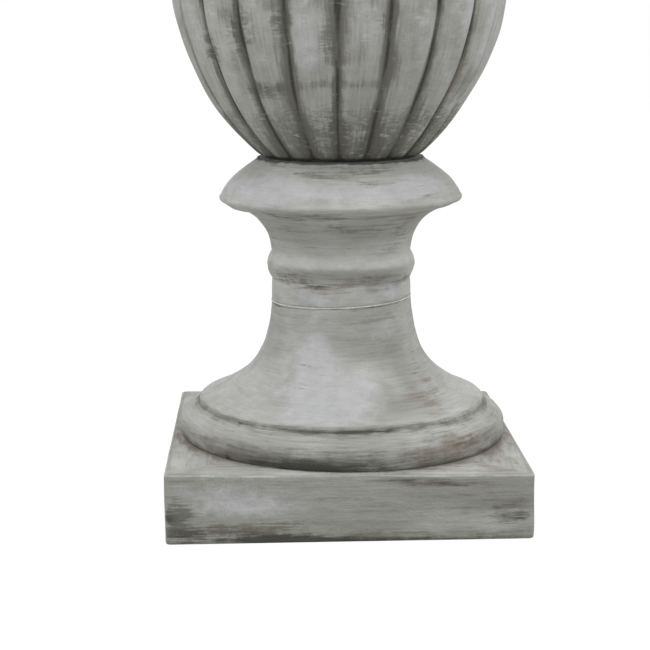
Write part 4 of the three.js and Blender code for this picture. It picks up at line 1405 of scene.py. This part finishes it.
# ---- Studio
@dataclass
class Studio:
    """White studio: soft light from all round and above, a white floor that keeps a faint shadow, and the camera."""

    focal_pixels: float = 1626.33
    picture: float = 650.0
    distance: float = 1550.27
    height: float = 461.69
    pitch: float = 10.822
    roll: float = -0.4026
    pan: float = 0.584
    round: float = -2.5418

    def build(self) -> None:
        """Sets the camera, the lights, the world and the floor."""
        self.build_camera()
        self.build_world()
        self.build_floor()
        self.build_lamp("left_softbox", (-2.0, -1.4, 2.2), 1.9, 18.0)
        self.build_lamp("right_softbox", (1.9, -1.4, 2.2), 1.9, 18.0)
        self.build_lamp("top_softbox", (0.2, 0.1, 2.6), 2.2, 16.0)

    def build_camera(self) -> None:
        """Stands the camera where the photograph was taken from."""
        turn, aim, pitch = (math.radians(v) for v in (self.round, self.round + self.pan, self.pitch))
        place = Vector((self.distance * math.sin(turn), -self.distance * math.cos(turn), self.height))
        ahead = Vector((-math.sin(aim) * math.cos(pitch), math.cos(aim) * math.cos(pitch), -math.sin(pitch)))
        level = Vector((math.cos(aim), math.sin(aim), 0))
        upward = level.cross(ahead)
        lean = math.radians(self.roll)
        right = math.cos(lean) * level + math.sin(lean) * upward
        top = -math.sin(lean) * level + math.cos(lean) * upward
        data = bpy.data.cameras.new("camera")
        data.sensor_width = 36.0
        data.lens = self.focal_pixels / self.picture * data.sensor_width
        camera = bpy.data.objects.new("camera", data)
        camera.matrix_world = Matrix.Translation(place * MM) @ Matrix((right, top, -ahead)).transposed().to_4x4()
        bpy.context.scene.collection.objects.link(camera)
        bpy.context.scene.camera = camera

    def build_world(self) -> None:
        """Lights the object from a pale sky, brighter overhead, and shows it as white."""
        world = bpy.data.worlds.new("studio")
        bpy.context.scene.world = world
        world.use_nodes = True
        tree = world.node_tree
        tree.nodes.clear()
        way = add(tree, "TexCoord")
        parts = add(tree, "SeparateXYZ", {0: way.outputs["Generated"]})
        sky = add(tree, "MapRange", {0: parts.outputs["Z"], 1: -0.2, 2: 0.9, 3: 0.42, 4: 0.95}).outputs[0]
        light = add(tree, "Background", {"Color": (1, 1, 1, 1), "Strength": sky})
        white = add(tree, "Background", {"Color": (1, 1, 1, 1), "Strength": 1.0})
        path = add(tree, "LightPath")
        seen = path.outputs["Is Camera Ray"]
        for ray in ("Is Glossy Ray", "Is Transmission Ray"):
            seen = add(tree, "Math", {0: seen, 1: path.outputs[ray]}, operation="MAXIMUM").outputs[0]
        shown = add(tree, "MixShader", {0: seen, 1: light.outputs[0], 2: white.outputs[0]})
        add(tree, "OutputWorld", {"Surface": shown.outputs[0]})

    def build_floor(self) -> None:
        """Lays the white floor that the plinth stands on."""
        bm = bmesh.new()
        bmesh.ops.create_grid(bm, x_segments=1, y_segments=1, size=6.0)
        floor = finished("floor", bm, smooth=False)
        material, tree = blank_material("white_paper_sweep")
        path = add(tree, "LightPath")
        paper = add(tree, "BsdfDiffuse", {"Color": linear("#c2c2c0")})
        glow = add(tree, "Emission", {"Color": (1, 1, 1, 1), "Strength": 1.1})
        share = add(tree, "Math", {0: path.outputs["Is Camera Ray"], 1: 0.86}, operation="MULTIPLY").outputs[0]
        shown = add(tree, "MixShader", {0: share, 1: paper.outputs[0], 2: glow.outputs[0]})
        add(tree, "OutputMaterial", {"Surface": shown.outputs[0]})
        floor.data.materials.append(material)

    @staticmethod
    def build_lamp(name: str, place: tuple[float, float, float], size: float, power: float) -> None:
        """Hangs a square softbox that faces the bowl.

        Args:
            name: Its name.
            place: Where it hangs, in metres.
            size: Its side, in metres.
            power: Its power in watts.
        """
        data = bpy.data.lights.new(name, "AREA")
        data.shape, data.size, data.energy = "SQUARE", size, power
        lamp = bpy.data.objects.new(name, data)
        lamp.location = place
        lamp.rotation_euler = (Vector((0, 0, 0.35)) - Vector(place)).to_track_quat("-Z", "Y").to_euler()
        bpy.context.scene.collection.objects.link(lamp)


# ---- The urn
def seat(piece: Piece, node: str, body: str, slot: str) -> None:
    """Puts a piece on its body in place of a CAD node.

    Args:
        piece: The piece.
        node: The node that it stands for.
        body: The body that carries it.
        slot: The record's material slot. Not used.
    """
    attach(piece, body)
    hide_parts(node)
    log.info("%s: %d faces", piece.name, len(piece.data.polygons))


def main() -> None:
    """Builds the studio and every piece."""
    logging.basicConfig(level=logging.INFO, format="%(relativeCreated)d ms %(message)s")
    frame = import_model()
    bpy.context.scene.view_settings.view_transform = "Standard"
    Studio().build()

    pedestal_finish = WashedCastStone("washed_cast_stone_pedestal", BrushWay.ROUND)
    stem_finish = WashedCastStone("washed_cast_stone_stem", BrushWay.ROUND, "#c0c1be", "#abaca7")
    bowl_finish = WashedCastStone(
        "washed_cast_stone_bowl",
        BrushWay.UPRIGHT,
        "#b7b8b4",
        "#a0a19b",
        cross=(30.0, 30.0, 5.0),
        waver=1.8,
        dark_strokes=0.17,
        pale_strokes=0.10,
        coats=blotched(WashedCastStone.coats, "rubbed", "worn"),
    )
    seat(dress(crisp(Pedestal().build(), 50), pedestal_finish), "pedestal_shell", "urn", "cast_stone_pedestal")
    seat(WaistBead().build(), "waist_seal_bead", "urn", "sealant")
    seat(dress(crisp(Stem().build(), 50), stem_finish), "stem_collar", "urn", "cast_stone_stem")
    seat(dress(crisp(Bowl().build(), 60), bowl_finish), "fluted_bowl", "urn", "cast_stone_bowl")
    dress(frame["nodes"]["bowl_bedding_ring"], MORTAR)

    fixings = Fixings()
    seat(fixings.build_bolt(), "tie_bolt", "urn", "zinc_steel")
    seat(fixings.build_nut(), "tie_nut", "urn", "zinc_steel")
    seal = fixings.build_washer("soft_washer", 34.0, 349.0, 3.0, RUBBER)
    seat(seal, "bolt_sealing_washer", "urn", "black_rubber")
    seat(fixings.build_washer("steel_washer", 30.0, 352.0, 2.5, ZINC), "bolt_head_washer", "urn", "zinc_steel")
    seat(fixings.build_washer("lower_washer", 24.0, 164.0, 2.0, ZINC), "nut_washer", "urn", "zinc_steel")
    seat(fixings.build_bar(), "cross_bar", "urn", "bar_steel")
    seat(DrainPlug().build(), "drain_plug", "plug", "black_rubber")


if __name__ == "__main__":
    main()
